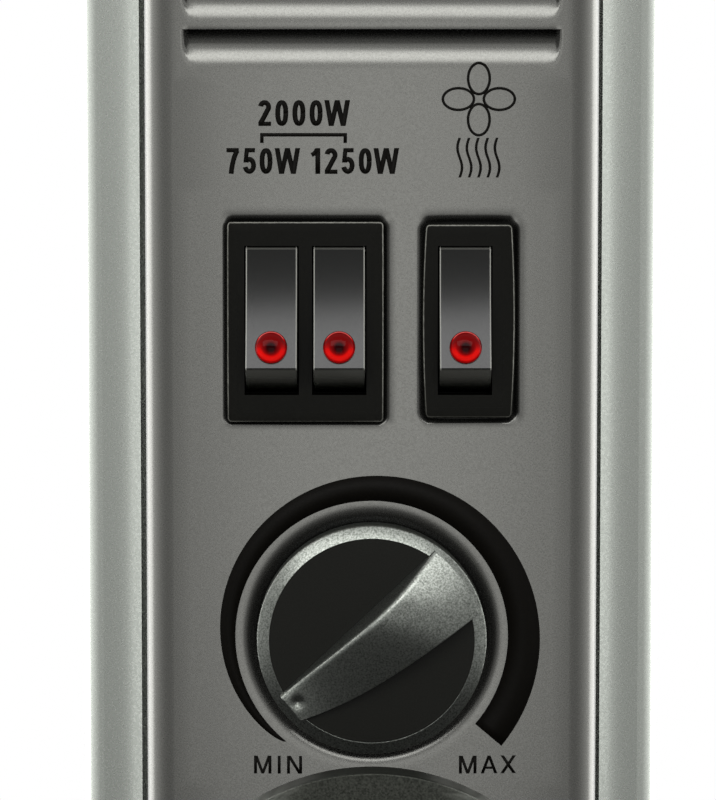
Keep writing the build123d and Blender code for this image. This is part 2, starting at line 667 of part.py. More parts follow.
with BuildPart() as thermostat_shaft:
    with BuildSketch(facing_front(PANEL_Y - SHAFT_FRONT)):
        with Locations((0, KNOB_Z)):
            Circle(SHAFT_RADIUS)
    extrude(amount=-(SHAFT_FRONT + SHAFT_TAIL))
save(thermostat_shaft, "thermostat_shaft")

# The knob: a hollow cap with a rolled rim, a recess for the black disc, and a bar to grip across it
KNOB_SKIRT = 1.5
KNOB_WALL = 1.6
KNOB_ROOF = 3.4
KNOB_HUB_RADIUS = 5.4
KNOB_HUB_END = 0.4
grip_direction = Plane(
    origin=(0, PANEL_Y, KNOB_Z),
    x_dir=(cos(radians(GRIP_ANGLE)), 0, sin(radians(GRIP_ANGLE))),
    z_dir=(0, -1, 0),
)


def draw_grip(margin):
    """Draws the bar's outline: narrow at the pointer, wide and fuller on its lower side at the other end."""
    end = INSERT_RADIUS + 1
    Polygon(
        (-end, -GRIP_TIP_HALF - margin),
        (-GRIP_SHOULDER, -GRIP_SHOULDER_HALF - margin),
        (0, -GRIP_BELLY - margin),
        (end, -GRIP_BELLY - margin),
        (end, GRIP_WIDE_HALF + margin),
        (-end, GRIP_TIP_HALF + margin),
        align=None,
    )
    Circle(INSERT_RADIUS + margin, mode=Mode.INTERSECT)


grip_side = Plane(
    origin=grip_direction.origin, x_dir=grip_direction.x_dir, z_dir=-grip_direction.y_dir
)
GRIP_POINTER_HEIGHT = 7.4
GRIP_REAR_HEIGHT = 8.8
grip_base = KNOB_FACE - KNOB_ROOF
with BuildPart() as grip_bar:
    with BuildSketch(grip_direction.offset(grip_base)):
        draw_grip(0)
    extrude(amount=GRIP_HEIGHT)
    with BuildSketch(grip_side):
        with BuildLine():
            ThreePointArc(
                (-INSERT_RADIUS, GRIP_POINTER_HEIGHT), (0, GRIP_HEIGHT), (INSERT_RADIUS, GRIP_REAR_HEIGHT)
            )
            Polyline(
                (INSERT_RADIUS, GRIP_REAR_HEIGHT),
                (INSERT_RADIUS, grip_base),
                (-INSERT_RADIUS, grip_base),
                (-INSERT_RADIUS, GRIP_POINTER_HEIGHT),
            )
        make_face()
    extrude(amount=INSERT_RADIUS, both=True, mode=Mode.INTERSECT)
    fillet(grip_bar.faces().filter_by(GeomType.CYLINDER).sort_by(SortBy.AREA)[-1].edges(), 1.0)

with BuildPart() as knob:
    with BuildSketch(Plane.YZ):
        with BuildLine():
            Line((PANEL_Y + KNOB_SKIRT, KNOB_Z), (PANEL_Y + KNOB_SKIRT, KNOB_Z + KNOB_RADIUS))
            Line((PANEL_Y + KNOB_SKIRT, KNOB_Z + KNOB_RADIUS), (PANEL_Y - 1, KNOB_Z + KNOB_RADIUS))
            EllipticalCenterArc(
                (PANEL_Y - 1, KNOB_Z + INSERT_RADIUS),
                KNOB_FACE - 1,
                KNOB_RADIUS - INSERT_RADIUS,
                start_angle=90,
                arc_size=90,
            )
            Polyline(
                (PANEL_Y - KNOB_FACE, KNOB_Z + INSERT_RADIUS),
                (PANEL_Y - KNOB_FACE, KNOB_Z),
                (PANEL_Y + KNOB_SKIRT, KNOB_Z),
            )
        make_face()
    revolve(axis=axis_to_rear(KNOB_Z))
    with BuildSketch(facing_front(PANEL_Y + KNOB_SKIRT)):
        with Locations((0, KNOB_Z)):
            Circle(KNOB_RADIUS - KNOB_WALL)
    extrude(amount=KNOB_SKIRT + KNOB_FACE - KNOB_ROOF, mode=Mode.SUBTRACT)
    with BuildSketch(facing_front(PANEL_Y - KNOB_FACE + INSERT_RECESS + 1.5)):
        with Locations((0, KNOB_Z)):
            Circle(INSERT_RADIUS)
    extrude(amount=INSERT_RECESS + 1.5, mode=Mode.SUBTRACT)
    add(grip_bar.part)
    with BuildSketch(facing_front(PANEL_Y - KNOB_FACE + KNOB_ROOF)):
        with Locations((0, KNOB_Z)):
            Circle(KNOB_HUB_RADIUS)
    extrude(amount=-(KNOB_FACE - KNOB_ROOF - KNOB_HUB_END))
    with BuildSketch(facing_front(PANEL_Y)):
        with Locations((0, KNOB_Z)):
            Circle(SHAFT_RADIUS)
    extrude(amount=SHAFT_FRONT, mode=Mode.SUBTRACT)
save(knob, "knob")

with BuildPart() as knob_insert:
    with BuildSketch(facing_front(PANEL_Y - KNOB_FACE + INSERT_RECESS + 1.5)):
        with Locations((0, KNOB_Z)):
            Circle(INSERT_RADIUS - 0.1)
    extrude(amount=1.5)
    with BuildSketch(grip_direction):
        draw_grip(0.1)
    extrude(amount=GRIP_HEIGHT, mode=Mode.SUBTRACT)
save(knob_insert, "knob_insert")

# The cord winder: a drum on the panel and a round plate on the drum
with BuildPart() as winder_stem:
    with BuildSketch(facing_front(PANEL_Y)):
        with Locations((0, WINDER_Z)):
            Circle(WINDER_STEM_RADIUS)
    extrude(amount=WINDER_STEM_LENGTH)
    with BuildSketch(facing_front(PANEL_Y)):
        with Locations((0, WINDER_Z)):
            Circle(STUD_RADIUS - 0.1)
    extrude(amount=-8)
save(winder_stem, "winder_stem")

with BuildPart() as winder_disc:
    with BuildSketch(facing_front(PANEL_Y - WINDER_STEM_LENGTH)):
        with Locations((0, WINDER_Z)):
            Circle(WINDER_RADIUS)
    extrude(amount=WINDER_THICKNESS)
    rims = winder_disc.edges().filter_by(GeomType.CIRCLE).sort_by(Axis.Y)
    fillet(rims[0], 4.0)
    fillet(winder_disc.edges().filter_by(GeomType.CIRCLE).sort_by(Axis.Y)[-1], 1.5)
save(winder_disc, "winder_disc")

# The handle: two posts and a bar between the control box and the fins
HANDLE_FRONT_Y = PANEL_Y + HANDLE_FRONT
HANDLE_REAR_Y = FIRST_WEB_Y + FIN_PITCH + FIN_PITCH / 2 - SHEET / 2
HANDLE_Z = FIN_TOP + HANDLE_GAP
with BuildPart() as handle_front_post:
    with BuildSketch(Plane.XY.offset(FIN_TOP)):
        with Locations((0, HANDLE_FRONT_Y)):
            RectangleRounded(GRIP_BAR_WIDTH + 4, HANDLE_POST + 4, 5)
    with BuildSketch(Plane.XY.offset(HANDLE_Z)):
        with Locations((0, HANDLE_FRONT_Y)):
            RectangleRounded(GRIP_BAR_WIDTH, HANDLE_POST, 5)
    loft()
save(handle_front_post, "handle_front_post")

with BuildPart() as handle_rear_post:
    with BuildSketch(Plane.XY.offset(FIN_TOP + SADDLE_SHEET)):
        with Locations((0, HANDLE_REAR_Y)):
            RectangleRounded(GRIP_BAR_WIDTH + 4, HANDLE_POST + 4, 5)
    with BuildSketch(Plane.XY.offset(HANDLE_Z)):
        with Locations((0, HANDLE_REAR_Y)):
            RectangleRounded(GRIP_BAR_WIDTH, HANDLE_POST, 5)
    loft()
save(handle_rear_post, "handle_rear_post")

with BuildPart() as handle_grip:
    with BuildSketch(Plane.XY.offset(HANDLE_Z)):
        with Locations((0, (HANDLE_FRONT_Y + HANDLE_REAR_Y) / 2)):
            SlotOverall(HANDLE_REAR_Y - HANDLE_FRONT_Y + 2 * HANDLE_POST, GRIP_BAR_WIDTH, rotation=90)
    extrude(amount=GRIP_BAR_HEIGHT)
    fillet(handle_grip.faces().sort_by(Axis.Z)[-1].edges(), 7)
    fillet(handle_grip.faces().sort_by(Axis.Z)[0].edges(), 2)
save(handle_grip, "handle_grip")

SADDLE_WIDTH = 64.0
SADDLE_DEPTH = 48.0
with BuildPart() as handle_saddle:
    with BuildSketch(Plane.XY.offset(FIN_TOP)):
        with Locations((0, HANDLE_REAR_Y)):
            RectangleRounded(SADDLE_WIDTH, SADDLE_DEPTH, 5)
            with GridLocations(2 * BOLT_BEND, 0, 2, 1):
                Circle(BOLT_RADIUS + 0.3, mode=Mode.SUBTRACT)
    extrude(amount=SADDLE_SHEET)
save(handle_saddle, "handle_saddle")

# The feet: two channels under the fins, with a socket for each castor
FRONT_FOOT_Y = FIRST_WEB_Y + FIN_PITCH / 2 - SHEET / 2
REAR_FOOT_Y = LAST_WEB_Y - FIN_PITCH / 2 - SHEET / 2
FOOT_PLATE_Z = FIN_BOTTOM - FOOT_SHEET
SOCKET_RADIUS = 9.0


def make_foot(name, y):
    """A channel that opens downwards, with its ends rounded as seen from above."""
    with BuildPart() as foot:
        with BuildSketch(Plane.XY.offset(FOOT_PLATE_Z - FOOT_FLANGE)):
            with Locations((0, y)):
                RectangleRounded(FOOT_WIDTH, FOOT_DEPTH, 12)
        extrude(amount=FOOT_SHEET + FOOT_FLANGE)
        fillet(foot.faces().sort_by(Axis.Z)[-1].edges(), 3)
        with BuildSketch(Plane.XY.offset(FOOT_PLATE_Z - FOOT_FLANGE)):
            with Locations((0, y)):
                RectangleRounded(FOOT_WIDTH - 2 * FOOT_SHEET, FOOT_DEPTH - 2 * FOOT_SHEET, 12 - FOOT_SHEET)
        extrude(amount=FOOT_FLANGE, mode=Mode.SUBTRACT)
        with BuildSketch(Plane.XY.offset(FOOT_PLATE_Z - FOOT_FLANGE)):
            with Locations((-CASTOR_X, y), (CASTOR_X, y)):
                Circle(SOCKET_RADIUS)
        extrude(amount=FOOT_FLANGE)
        with BuildSketch(Plane.XY.offset(FOOT_PLATE_Z - FOOT_FLANGE)):
            with Locations((-CASTOR_X, y), (CASTOR_X, y)):
                Circle(STEM_RADIUS + RUNNING_FIT)
        extrude(amount=FOOT_FLANGE, mode=Mode.SUBTRACT)
        with BuildSketch(Plane.XY.offset(FOOT_PLATE_Z)):
            with Locations((-BOLT_BEND, y), (BOLT_BEND, y)):
                Circle(BOLT_RADIUS + 0.3)
        extrude(amount=FOOT_SHEET, mode=Mode.SUBTRACT)
    save(foot, name)


make_foot("front_foot", FRONT_FOOT_Y)
make_foot("rear_foot", REAR_FOOT_Y)

# Each U-bolt hangs round a header: two hold the feet from below, one holds the handle's saddle
BOLT_TAIL = 12.0
with BuildPart() as u_bolts:
    for y, header_z, end_z in (
        (FRONT_FOOT_Y, LOW_HEADER_Z, FOOT_PLATE_Z - BOLT_TAIL),
        (REAR_FOOT_Y, LOW_HEADER_Z, FOOT_PLATE_Z - BOLT_TAIL),
        (HANDLE_REAR_Y, HIGH_HEADER_Z, FIN_TOP + SADDLE_SHEET + BOLT_TAIL - 2),
    ):
        crown = BOLT_BEND if end_z < header_z else -BOLT_BEND
        with BuildLine() as bend:
            Line((-BOLT_BEND, y, end_z), (-BOLT_BEND, y, header_z))
            ThreePointArc((-BOLT_BEND, y, header_z), (0, y, header_z + crown), (BOLT_BEND, y, header_z))
            Line((BOLT_BEND, y, header_z), (BOLT_BEND, y, end_z))
        with BuildSketch(Plane.XY.offset(end_z)):
            with Locations((-BOLT_BEND, y)):
                Circle(BOLT_RADIUS)
        sweep(path=bend.line)
save(u_bolts, "u_bolts")

NUT_HUB_RADIUS = 5.5
NUT_HUB_HEIGHT = 6.0
WING_LENGTH = 9.0
WING_THICKNESS = 2.0
with BuildPart() as wing_nuts:
    for y, seat_z, outward in (
        (FRONT_FOOT_Y, FOOT_PLATE_Z, -1),
        (REAR_FOOT_Y, FOOT_PLATE_Z, -1),
        (HANDLE_REAR_Y, FIN_TOP + SADDLE_SHEET, 1),
    ):
        with BuildSketch(Plane.XY.offset(seat_z)):
            with Locations((-BOLT_BEND, y), (BOLT_BEND, y)):
                Circle(NUT_HUB_RADIUS)
        extrude(amount=outward * NUT_HUB_HEIGHT)
        with BuildSketch(Plane.XY.offset(seat_z + outward * NUT_HUB_HEIGHT / 2)):
            with Locations((-BOLT_BEND, y), (BOLT_BEND, y)):
                SlotOverall(2 * WING_LENGTH, WING_THICKNESS, rotation=90)
        extrude(amount=outward * NUT_HUB_HEIGHT)
        with BuildSketch(Plane.XY.offset(seat_z)):
            with Locations((-BOLT_BEND, y), (BOLT_BEND, y)):
                Circle(BOLT_RADIUS + RUNNING_FIT)
        extrude(amount=outward * 2 * NUT_HUB_HEIGHT, mode=Mode.SUBTRACT)
save(wing_nuts, "wing_nuts")

# The castors: a fork with its stem, axle and hood, and two wheels on the axle
CASTOR_TOP = FOOT_PLATE_Z - FOOT_FLANGE - 0.3
BOSS_RADIUS = 9.0
HOOD_LIFT = 2.0
WEB_HALF = 2.6
WEB_DROP = 5.0
HOOD_RADIUS = WHEEL_RADIUS + HOOD_CLEARANCE + HOOD_SHEET
HOOD_HALF = WHEEL_GAP + WHEEL_WIDTH + 0.8
AXLE_HALF = WHEEL_GAP + WHEEL_WIDTH - 0.6
HUB_CAP_RADIUS = 7.0


def make_castor(number, x, y):
    """A twin-wheel castor that trails behind its stem."""
    axle_y = y + CASTOR_TRAIL
    axle_side = Plane.YZ.offset(x)
    with BuildPart() as fork:
        with BuildSketch(axle_side):
            with Locations((axle_y, WHEEL_RADIUS)):
                Circle(HOOD_RADIUS)
                Circle(HOOD_RADIUS - HOOD_SHEET, mode=Mode.SUBTRACT)
            with Locations((axle_y, WHEEL_RADIUS - HOOD_RADIUS + HOOD_LIFT)):
                Rectangle(3 * HOOD_RADIUS, 2 * HOOD_RADIUS, mode=Mode.SUBTRACT)
        extrude(amount=HOOD_HALF, both=True)
        with BuildSketch(axle_side):
            with Locations((axle_y, WHEEL_RADIUS)):
                Circle(HOOD_RADIUS - HOOD_SHEET / 2)
            with Locations((axle_y, WHEEL_RADIUS - HOOD_RADIUS - WEB_DROP)):
                Rectangle(3 * HOOD_RADIUS, 2 * HOOD_RADIUS, mode=Mode.SUBTRACT)
        extrude(amount=WEB_HALF, both=True)
        with BuildSketch(Plane.XY.offset(CASTOR_TOP)):
            with Locations((x, y)):
                Circle(BOSS_RADIUS)
        extrude(amount=-(CASTOR_TOP - WHEEL_RADIUS - HOOD_RADIUS / 2))
        for side in (-1, 1):
            with BuildSketch(Plane.YZ.offset(x + side * WEB_HALF)):
                with Locations((axle_y, WHEEL_RADIUS)):
                    Circle(HOOD_RADIUS - HOOD_SHEET)
            extrude(amount=side * (HOOD_HALF - WEB_HALF), mode=Mode.SUBTRACT)
        with BuildSketch(axle_side):
            with Locations((axle_y, WHEEL_RADIUS)):
                Circle(AXLE_RADIUS)
        extrude(amount=AXLE_HALF, both=True)
        with BuildSketch(Plane.XY.offset(CASTOR_TOP)):
            with Locations((x, y)):
                Circle(STEM_RADIUS)
        extrude(amount=FOOT_FLANGE - 0.5)
    save(fork, f"castor_{number}_fork")
    with BuildPart() as wheels:
        for side in (-1, 1):
            with BuildSketch(Plane.YZ.offset(x + side * WHEEL_GAP)):
                with Locations((axle_y, WHEEL_RADIUS)):
                    Circle(WHEEL_RADIUS)
            extrude(amount=side * WHEEL_WIDTH)
        fillet(wheels.edges().filter_by(GeomType.CIRCLE), 1.6)
        for side in (-1, 1):
            with BuildSketch(Plane.YZ.offset(x + side * (WHEEL_GAP + WHEEL_WIDTH))):
                with Locations((axle_y, WHEEL_RADIUS)):
                    Circle(WHEEL_RADIUS - 4)
                    Circle(HUB_CAP_RADIUS, mode=Mode.SUBTRACT)
            extrude(amount=-side * 2.5, mode=Mode.SUBTRACT)
        with BuildSketch(axle_side):
            with Locations((axle_y, WHEEL_RADIUS)):
                Circle(AXLE_RADIUS + RUNNING_FIT)
        extrude(amount=AXLE_HALF + 0.1, both=True, mode=Mode.SUBTRACT)
    save(wheels, f"castor_{number}_wheels")


castor_places = [(x, y) for y in (FRONT_FOOT_Y, REAR_FOOT_Y) for x in (-CASTOR_X, CASTOR_X)]
for number, (x, y) in enumerate(castor_places, start=1):
    make_castor(number, x, y)

# The convector fan: heater grid, frame, impeller and motor, one behind another on the louvres' axis
FAN_SQUARE = 66.0
FAN_BORE = 29.5
IMPELLER_RADIUS = 28.0
FAN_HUB_RADIUS = 9.0
BLADES = 5
BLADE_THICKNESS = 1.4
BLADE_PITCH = 32.0
FAN_SHAFT_RADIUS = 1.5
MOTOR_RADIUS = 14.0
PTC_SQUARE = 58.0
PTC_DEPTH = 11.0
PTC_FRONT_Y = PANEL_Y + 8.0
FRAME_FRONT_Y = PTC_FRONT_Y + PTC_DEPTH + 1.0
FRAME_DEPTH = 18.0
STRUT_DEPTH = 2.0
MOTOR_DEPTH = 14.0
IMPELLER_DEPTH = 11.0
with BuildPart() as ptc_heater:
    with BuildSketch(facing_front(PTC_FRONT_Y)):
        with Locations((0, FAN_Z)):
            RectangleRounded(PTC_SQUARE, PTC_SQUARE, 2)
            with GridLocations(13.5, 4.4, 4, 12):
                Rectangle(11.5, 3.2, mode=Mode.SUBTRACT)
    extrude(amount=-PTC_DEPTH)
save(ptc_heater, "ptc_heater")

with BuildPart() as fan_frame:
    with BuildSketch(facing_front(FRAME_FRONT_Y)):
        with Locations((0, FAN_Z)):
            RectangleRounded(FAN_SQUARE, FAN_SQUARE, 4)
            Circle(FAN_BORE, mode=Mode.SUBTRACT)
            with GridLocations(56, 56, 2, 2):
                Circle(2.2, mode=Mode.SUBTRACT)
    extrude(amount=-FRAME_DEPTH)
    with BuildSketch(facing_front(FRAME_FRONT_Y + FRAME_DEPTH)):
        with Locations((0, FAN_Z)):
            Rectangle(2 * FAN_BORE + 2, 5)
            Rectangle(5, 2 * FAN_BORE + 2)
            Circle(MOTOR_RADIUS)
            Circle(FAN_SHAFT_RADIUS + 1.0, mode=Mode.SUBTRACT)
    extrude(amount=STRUT_DEPTH)
save(fan_frame, "fan_frame")

motor_front_y = FRAME_FRONT_Y + FRAME_DEPTH
with BuildPart() as fan_motor:
    with BuildSketch(facing_front(motor_front_y)):
        with Locations((0, FAN_Z)):
            Circle(MOTOR_RADIUS)
    extrude(amount=-MOTOR_DEPTH)
    fillet(fan_motor.edges().filter_by(GeomType.CIRCLE).sort_by(Axis.Y)[-1], 1.5)
    with BuildSketch(facing_front(motor_front_y)):
        with Locations((0, FAN_Z)):
            Circle(FAN_SHAFT_RADIUS + RUNNING_FIT)
    extrude(amount=-(MOTOR_DEPTH - 3), mode=Mode.SUBTRACT)
save(fan_motor, "fan_motor")

impeller_front_y = FRAME_FRONT_Y + 1.5
with BuildPart() as fan_impeller:
    with BuildSketch(facing_front(impeller_front_y)):
        with Locations((0, FAN_Z)):
            Circle(FAN_HUB_RADIUS)
    extrude(amount=-IMPELLER_DEPTH)
    fillet(fan_impeller.edges().filter_by(GeomType.CIRCLE).sort_by(Axis.Y)[0], 2)
    for blade in range(BLADES):
        turn = radians(blade * 360 / BLADES)
        outward = Vector(cos(turn), 0, sin(turn))
        across = Vector(-sin(turn), 0, cos(turn))
        lean = radians(BLADE_PITCH)
        chord = across * cos(lean) + Vector(0, 1, 0) * sin(lean)
        root = Vector(0, impeller_front_y + IMPELLER_DEPTH / 2, FAN_Z) + outward * (FAN_HUB_RADIUS - 1.5)
        with BuildSketch(Plane(origin=root, x_dir=chord, z_dir=outward)):
            RectangleRounded(14, BLADE_THICKNESS, BLADE_THICKNESS / 2 - 0.05)
        extrude(amount=IMPELLER_RADIUS - FAN_HUB_RADIUS + 1)
    with BuildSketch(facing_front(impeller_front_y + IMPELLER_DEPTH)):
        with Locations((0, FAN_Z)):
            Circle(FAN_SHAFT_RADIUS)
    extrude(amount=-(motor_front_y + MOTOR_DEPTH - 3.5 - impeller_front_y - IMPELLER_DEPTH))
save(fan_impeller, "fan_impeller")

# The other electric parts in the lower half of the box
BLOCK_Z = KNOB_Z - 130.0
BLOCK_HEIGHT = 20.0
TILT_Z = BLOCK_Z - 50.0
CUTOUT_Z = LOW_HEADER_Z + 60.0
with BuildPart() as terminal_block:
    with BuildSketch(facing_front(PLATE_FRONT_Y)):
        with Locations((0, BLOCK_Z)):
            Rectangle(50, BLOCK_HEIGHT)
    extrude(amount=14)
    with BuildSketch(facing_front(PLATE_FRONT_Y - 14)):
        with Locations((0, BLOCK_Z)):
            with GridLocations(12, 10, 4, 2):
                Circle(2.4)
    extrude(amount=-5, mode=Mode.SUBTRACT)
save(terminal_block, "terminal_block")

with BuildPart() as thermal_cutout:
    with BuildSketch(facing_front(PLATE_FRONT_Y)):
        with Locations((22, CUTOUT_Z)):
            Circle(8)
    extrude(amount=7)
    with BuildSketch(facing_front(PLATE_FRONT_Y)):
        with Locations((22, CUTOUT_Z)):
            Rectangle(4, 24)
            Circle(8)
    extrude(amount=1)
save(thermal_cutout, "thermal_cutout")

TILT_WIDTH = 36.0
TILT_HEIGHT = 34.0
TILT_DEPTH = 16.0
TILT_WALL = 2.0
PENDULUM_RADIUS = 5.0
PENDULUM_LENGTH = 17.0
PENDULUM_PIN = 1.2
tilt_pivot_z = TILT_Z + TILT_HEIGHT / 2 - TILT_WALL - 4.0
tilt_middle_y = PLATE_FRONT_Y - TILT_DEPTH / 2
with BuildPart() as tilt_switch_case:
    with BuildSketch(facing_front(PLATE_FRONT_Y)):
        with Locations((0, TILT_Z)):
            RectangleRounded(TILT_WIDTH, TILT_HEIGHT, 2)
    extrude(amount=TILT_DEPTH)
    with BuildSketch(facing_front(PLATE_FRONT_Y - TILT_WALL)):
        with Locations((0, TILT_Z)):
            Rectangle(TILT_WIDTH - 2 * TILT_WALL, TILT_HEIGHT - 2 * TILT_WALL)
    extrude(amount=TILT_DEPTH - 2 * TILT_WALL, mode=Mode.SUBTRACT)
    with BuildSketch(facing_front(PLATE_FRONT_Y - 0.8)):
        with Locations((0, tilt_pivot_z)):
            Circle(PENDULUM_PIN + RUNNING_FIT)
    extrude(amount=TILT_DEPTH - 1.6, mode=Mode.SUBTRACT)
save(tilt_switch_case, "tilt_switch_case")

with BuildPart() as tilt_pendulum:
    with BuildSketch(facing_front(PLATE_FRONT_Y - 1.0)):
        with Locations((0, tilt_pivot_z)):
            Circle(PENDULUM_PIN)
    extrude(amount=TILT_DEPTH - 2.0)
    with BuildSketch(facing_front(tilt_middle_y)):
        with Locations((0, tilt_pivot_z)):
            Circle(2.5)
        with Locations((0, tilt_pivot_z - PENDULUM_LENGTH / 2)):
            Rectangle(2.4, PENDULUM_LENGTH)
        with Locations((0, tilt_pivot_z - PENDULUM_LENGTH)):
            Circle(PENDULUM_RADIUS)
    extrude(amount=TILT_DEPTH / 2 - TILT_WALL - 1.5, both=True)
save(tilt_pendulum, "tilt_pendulum")

# The wiring inside the box, along straight runs with rounded turns
WIRE_RADIUS = 1.2
WIRE_BEND = 9.0
RISER_Y = PANEL_Y + 54.0
block_top = BLOCK_Z + BLOCK_HEIGHT / 2
block_foot = BLOCK_Z - BLOCK_HEIGHT / 2
terminal_end_y = switch_rear_y + TERMINAL_LENGTH
thermostat_rear_y = dish_back_y + THERMOSTAT_DEPTH
pin_top = LOW_HEADER_Z + ELEMENT_BEND + ELEMENT_RADIUS
PIN_Y = PANEL_Y + 36.0
DROPPER_X = 21.5
MOTOR_LEAD_Y = PANEL_Y + 46.0
wire_routes = [
    [(x, RISER_Y, block_top), (x, RISER_Y, SWITCH_Z), (x, terminal_end_y, SWITCH_Z)]
    for x in (low_power_x, high_power_x, FAN_ROCKER_X)
]
wire_routes.append([(0, RISER_Y, block_top), (0, RISER_Y, KNOB_Z), (0, thermostat_rear_y, KNOB_Z)])
for side in (-1, 1):
    wire_routes.append(
        [
            (side * DROPPER_X, RISER_Y, block_foot),
            (side * DROPPER_X, RISER_Y, pin_top + 45),
            (side * ELEMENT_X, PIN_Y, pin_top + 25),
            (side * ELEMENT_X, PIN_Y, pin_top),
        ]
    )
wire_routes.append(
    [
        (FAN_ROCKER_X, terminal_end_y, SWITCH_Z + TERMINAL_RISE),
        (FAN_ROCKER_X, MOTOR_LEAD_Y, SWITCH_Z + TERMINAL_RISE),
        (0, MOTOR_LEAD_Y, SWITCH_Z + TERMINAL_RISE + 35),
        (0, MOTOR_LEAD_Y, FAN_Z - MOTOR_RADIUS),
    ]
)
with BuildPart() as internal_wires:
    for route in wire_routes:
        with BuildLine() as run:
            FilletPolyline(*route, radius=WIRE_BEND)
        first_step = Vector(*route[1]) - Vector(*route[0])
        with BuildSketch(Plane(origin=route[0], z_dir=first_step)):
            Circle(WIRE_RADIUS)
        sweep(path=run.line)
save(internal_wires, "internal_wires")
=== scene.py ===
# %% [markdown]
# # An oil filled radiator, close up at its control panel
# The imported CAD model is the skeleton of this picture, and it stays where it is. The lesson dresses it:
# thin pressed sheet, a moulded knob and printed marks are laid over the plain solids as surfaces worked out
# with numpy, and every part gets a finish that starts from what the real part is made of.

# %% Load the frame
import math

import bpy
import numpy as np
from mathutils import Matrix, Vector


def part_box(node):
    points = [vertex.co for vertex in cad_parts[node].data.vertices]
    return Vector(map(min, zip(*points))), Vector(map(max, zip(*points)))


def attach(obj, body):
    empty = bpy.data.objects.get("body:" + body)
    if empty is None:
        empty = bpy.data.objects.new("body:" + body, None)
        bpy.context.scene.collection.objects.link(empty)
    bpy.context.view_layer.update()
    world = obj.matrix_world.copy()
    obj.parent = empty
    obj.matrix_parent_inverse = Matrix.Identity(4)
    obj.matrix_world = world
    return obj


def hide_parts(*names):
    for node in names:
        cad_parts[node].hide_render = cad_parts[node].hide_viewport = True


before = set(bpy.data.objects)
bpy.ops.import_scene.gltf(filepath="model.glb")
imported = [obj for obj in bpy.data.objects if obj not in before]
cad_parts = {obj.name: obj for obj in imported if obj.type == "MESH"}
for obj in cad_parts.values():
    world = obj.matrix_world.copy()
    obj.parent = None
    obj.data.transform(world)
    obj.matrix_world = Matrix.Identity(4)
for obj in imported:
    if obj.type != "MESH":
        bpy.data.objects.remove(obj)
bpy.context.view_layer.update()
MM = 0.001
scene = bpy.context.scene

# %% [markdown]
# ## The camera
# The photograph looks almost squarely at the panel from a little over half a metre. The upright edges lean
# together slightly towards the bottom, which gives the small downward tilt, and the widths of the panel and
# of the fin's lips behind it give the distance. The lens follows from the focal length in pixels.

# %% Camera
FOCAL_PIXELS = 3510.0
PHOTO_LONG_SIDE = 800
SENSOR = 36.0
CAMERA_DISTANCE = 560.0
CAMERA_RISE = 82.25
CAMERA_X = -2.2
CAMERA_TILT = 4.5


def corners(node):
    """The lowest and the highest corner of a CAD node, in millimetres."""
    return [np.array(corner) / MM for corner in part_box(node)]


cover_low, cover_high = corners("front_cover")
knob_low, knob_high = corners("knob")
PANEL_Y = cover_low[1]
KNOB_Z = (knob_low[2] + knob_high[2]) / 2

camera_data = bpy.data.cameras.new("camera")
camera_data.sensor_width = SENSOR
camera_data.lens = FOCAL_PIXELS / PHOTO_LONG_SIDE * SENSOR
camera_data.clip_start = 0.01
camera_data.clip_end = 60
camera = bpy.data.objects.new("camera", camera_data)
camera.location = np.array([CAMERA_X, PANEL_Y - CAMERA_DISTANCE, KNOB_Z + CAMERA_RISE]) * MM
camera.rotation_euler = (math.radians(90 - CAMERA_TILT), 0, 0)
scene.collection.objects.link(camera)
scene.camera = camera
scene.view_settings.view_transform = "Standard"
print("lens, mm:", round(camera_data.lens, 2), "panel at y", round(PANEL_Y, 2), "knob at z", round(KNOB_Z, 2))

# %% [markdown]
# ## Nodes and colours
# One small function adds a shader node, sets its options, and fills its sockets with values or links.
# Colours are written as sRGB hex values, as a paint shop would note them, and turned to linear light here.

# %% Helpers for materials


def linear(code):
    """An sRGB hex colour as linear red, green, blue and alpha: the sRGB curve undone for each channel."""
    channels = np.array([int(code[i : i + 2], 16) for i in (1, 3, 5)]) / 255
    low, high = channels / 12.92, ((channels + 0.055) / 1.055) ** 2.4
    return (*np.where(channels <= 0.04045, low, high), 1.0)


def add_node(tree, kind, sockets=None, **options):
    """Adds a node with its options, and links or sets its sockets by name or number."""
    node = tree.nodes.new(kind)
    for option, value in options.items():
        setattr(node, option, value)
    for socket, value in (sockets or {}).items():
        if isinstance(value, bpy.types.NodeSocket):
            tree.links.new(value, node.inputs[socket])
        else:
            node.inputs[socket].default_value = value
    return node


def start_material(name):
    """A new material and its node tree, cleared of every node."""
    material = bpy.data.materials.new(name)
    material.use_nodes = True
    material.node_tree.nodes.clear()
    return material, material.node_tree


# %% [markdown]
# ## Studio light
# The panel shows what stood round it: a broad light above the camera that shines on the louvre's lower lip
# and the rockers, tall white sheets at both sides that draw white lines along the rounded edges, a faint
# upright strip behind the camera, and little light from below. The world is a plain level for matt surfaces,
# a white background for the camera, and for reflections a pale room that is darker behind the camera.

# %% World
WORLD_LEVEL = 0.8
ROOM_FRONT, ROOM_SIDES, ROOM_BELOW = 0.27, 1.3, 0.06
FRONT_TO_SIDES, BELOW_TO_LEVEL = (-0.8, 0.4), (-0.55, -0.1)

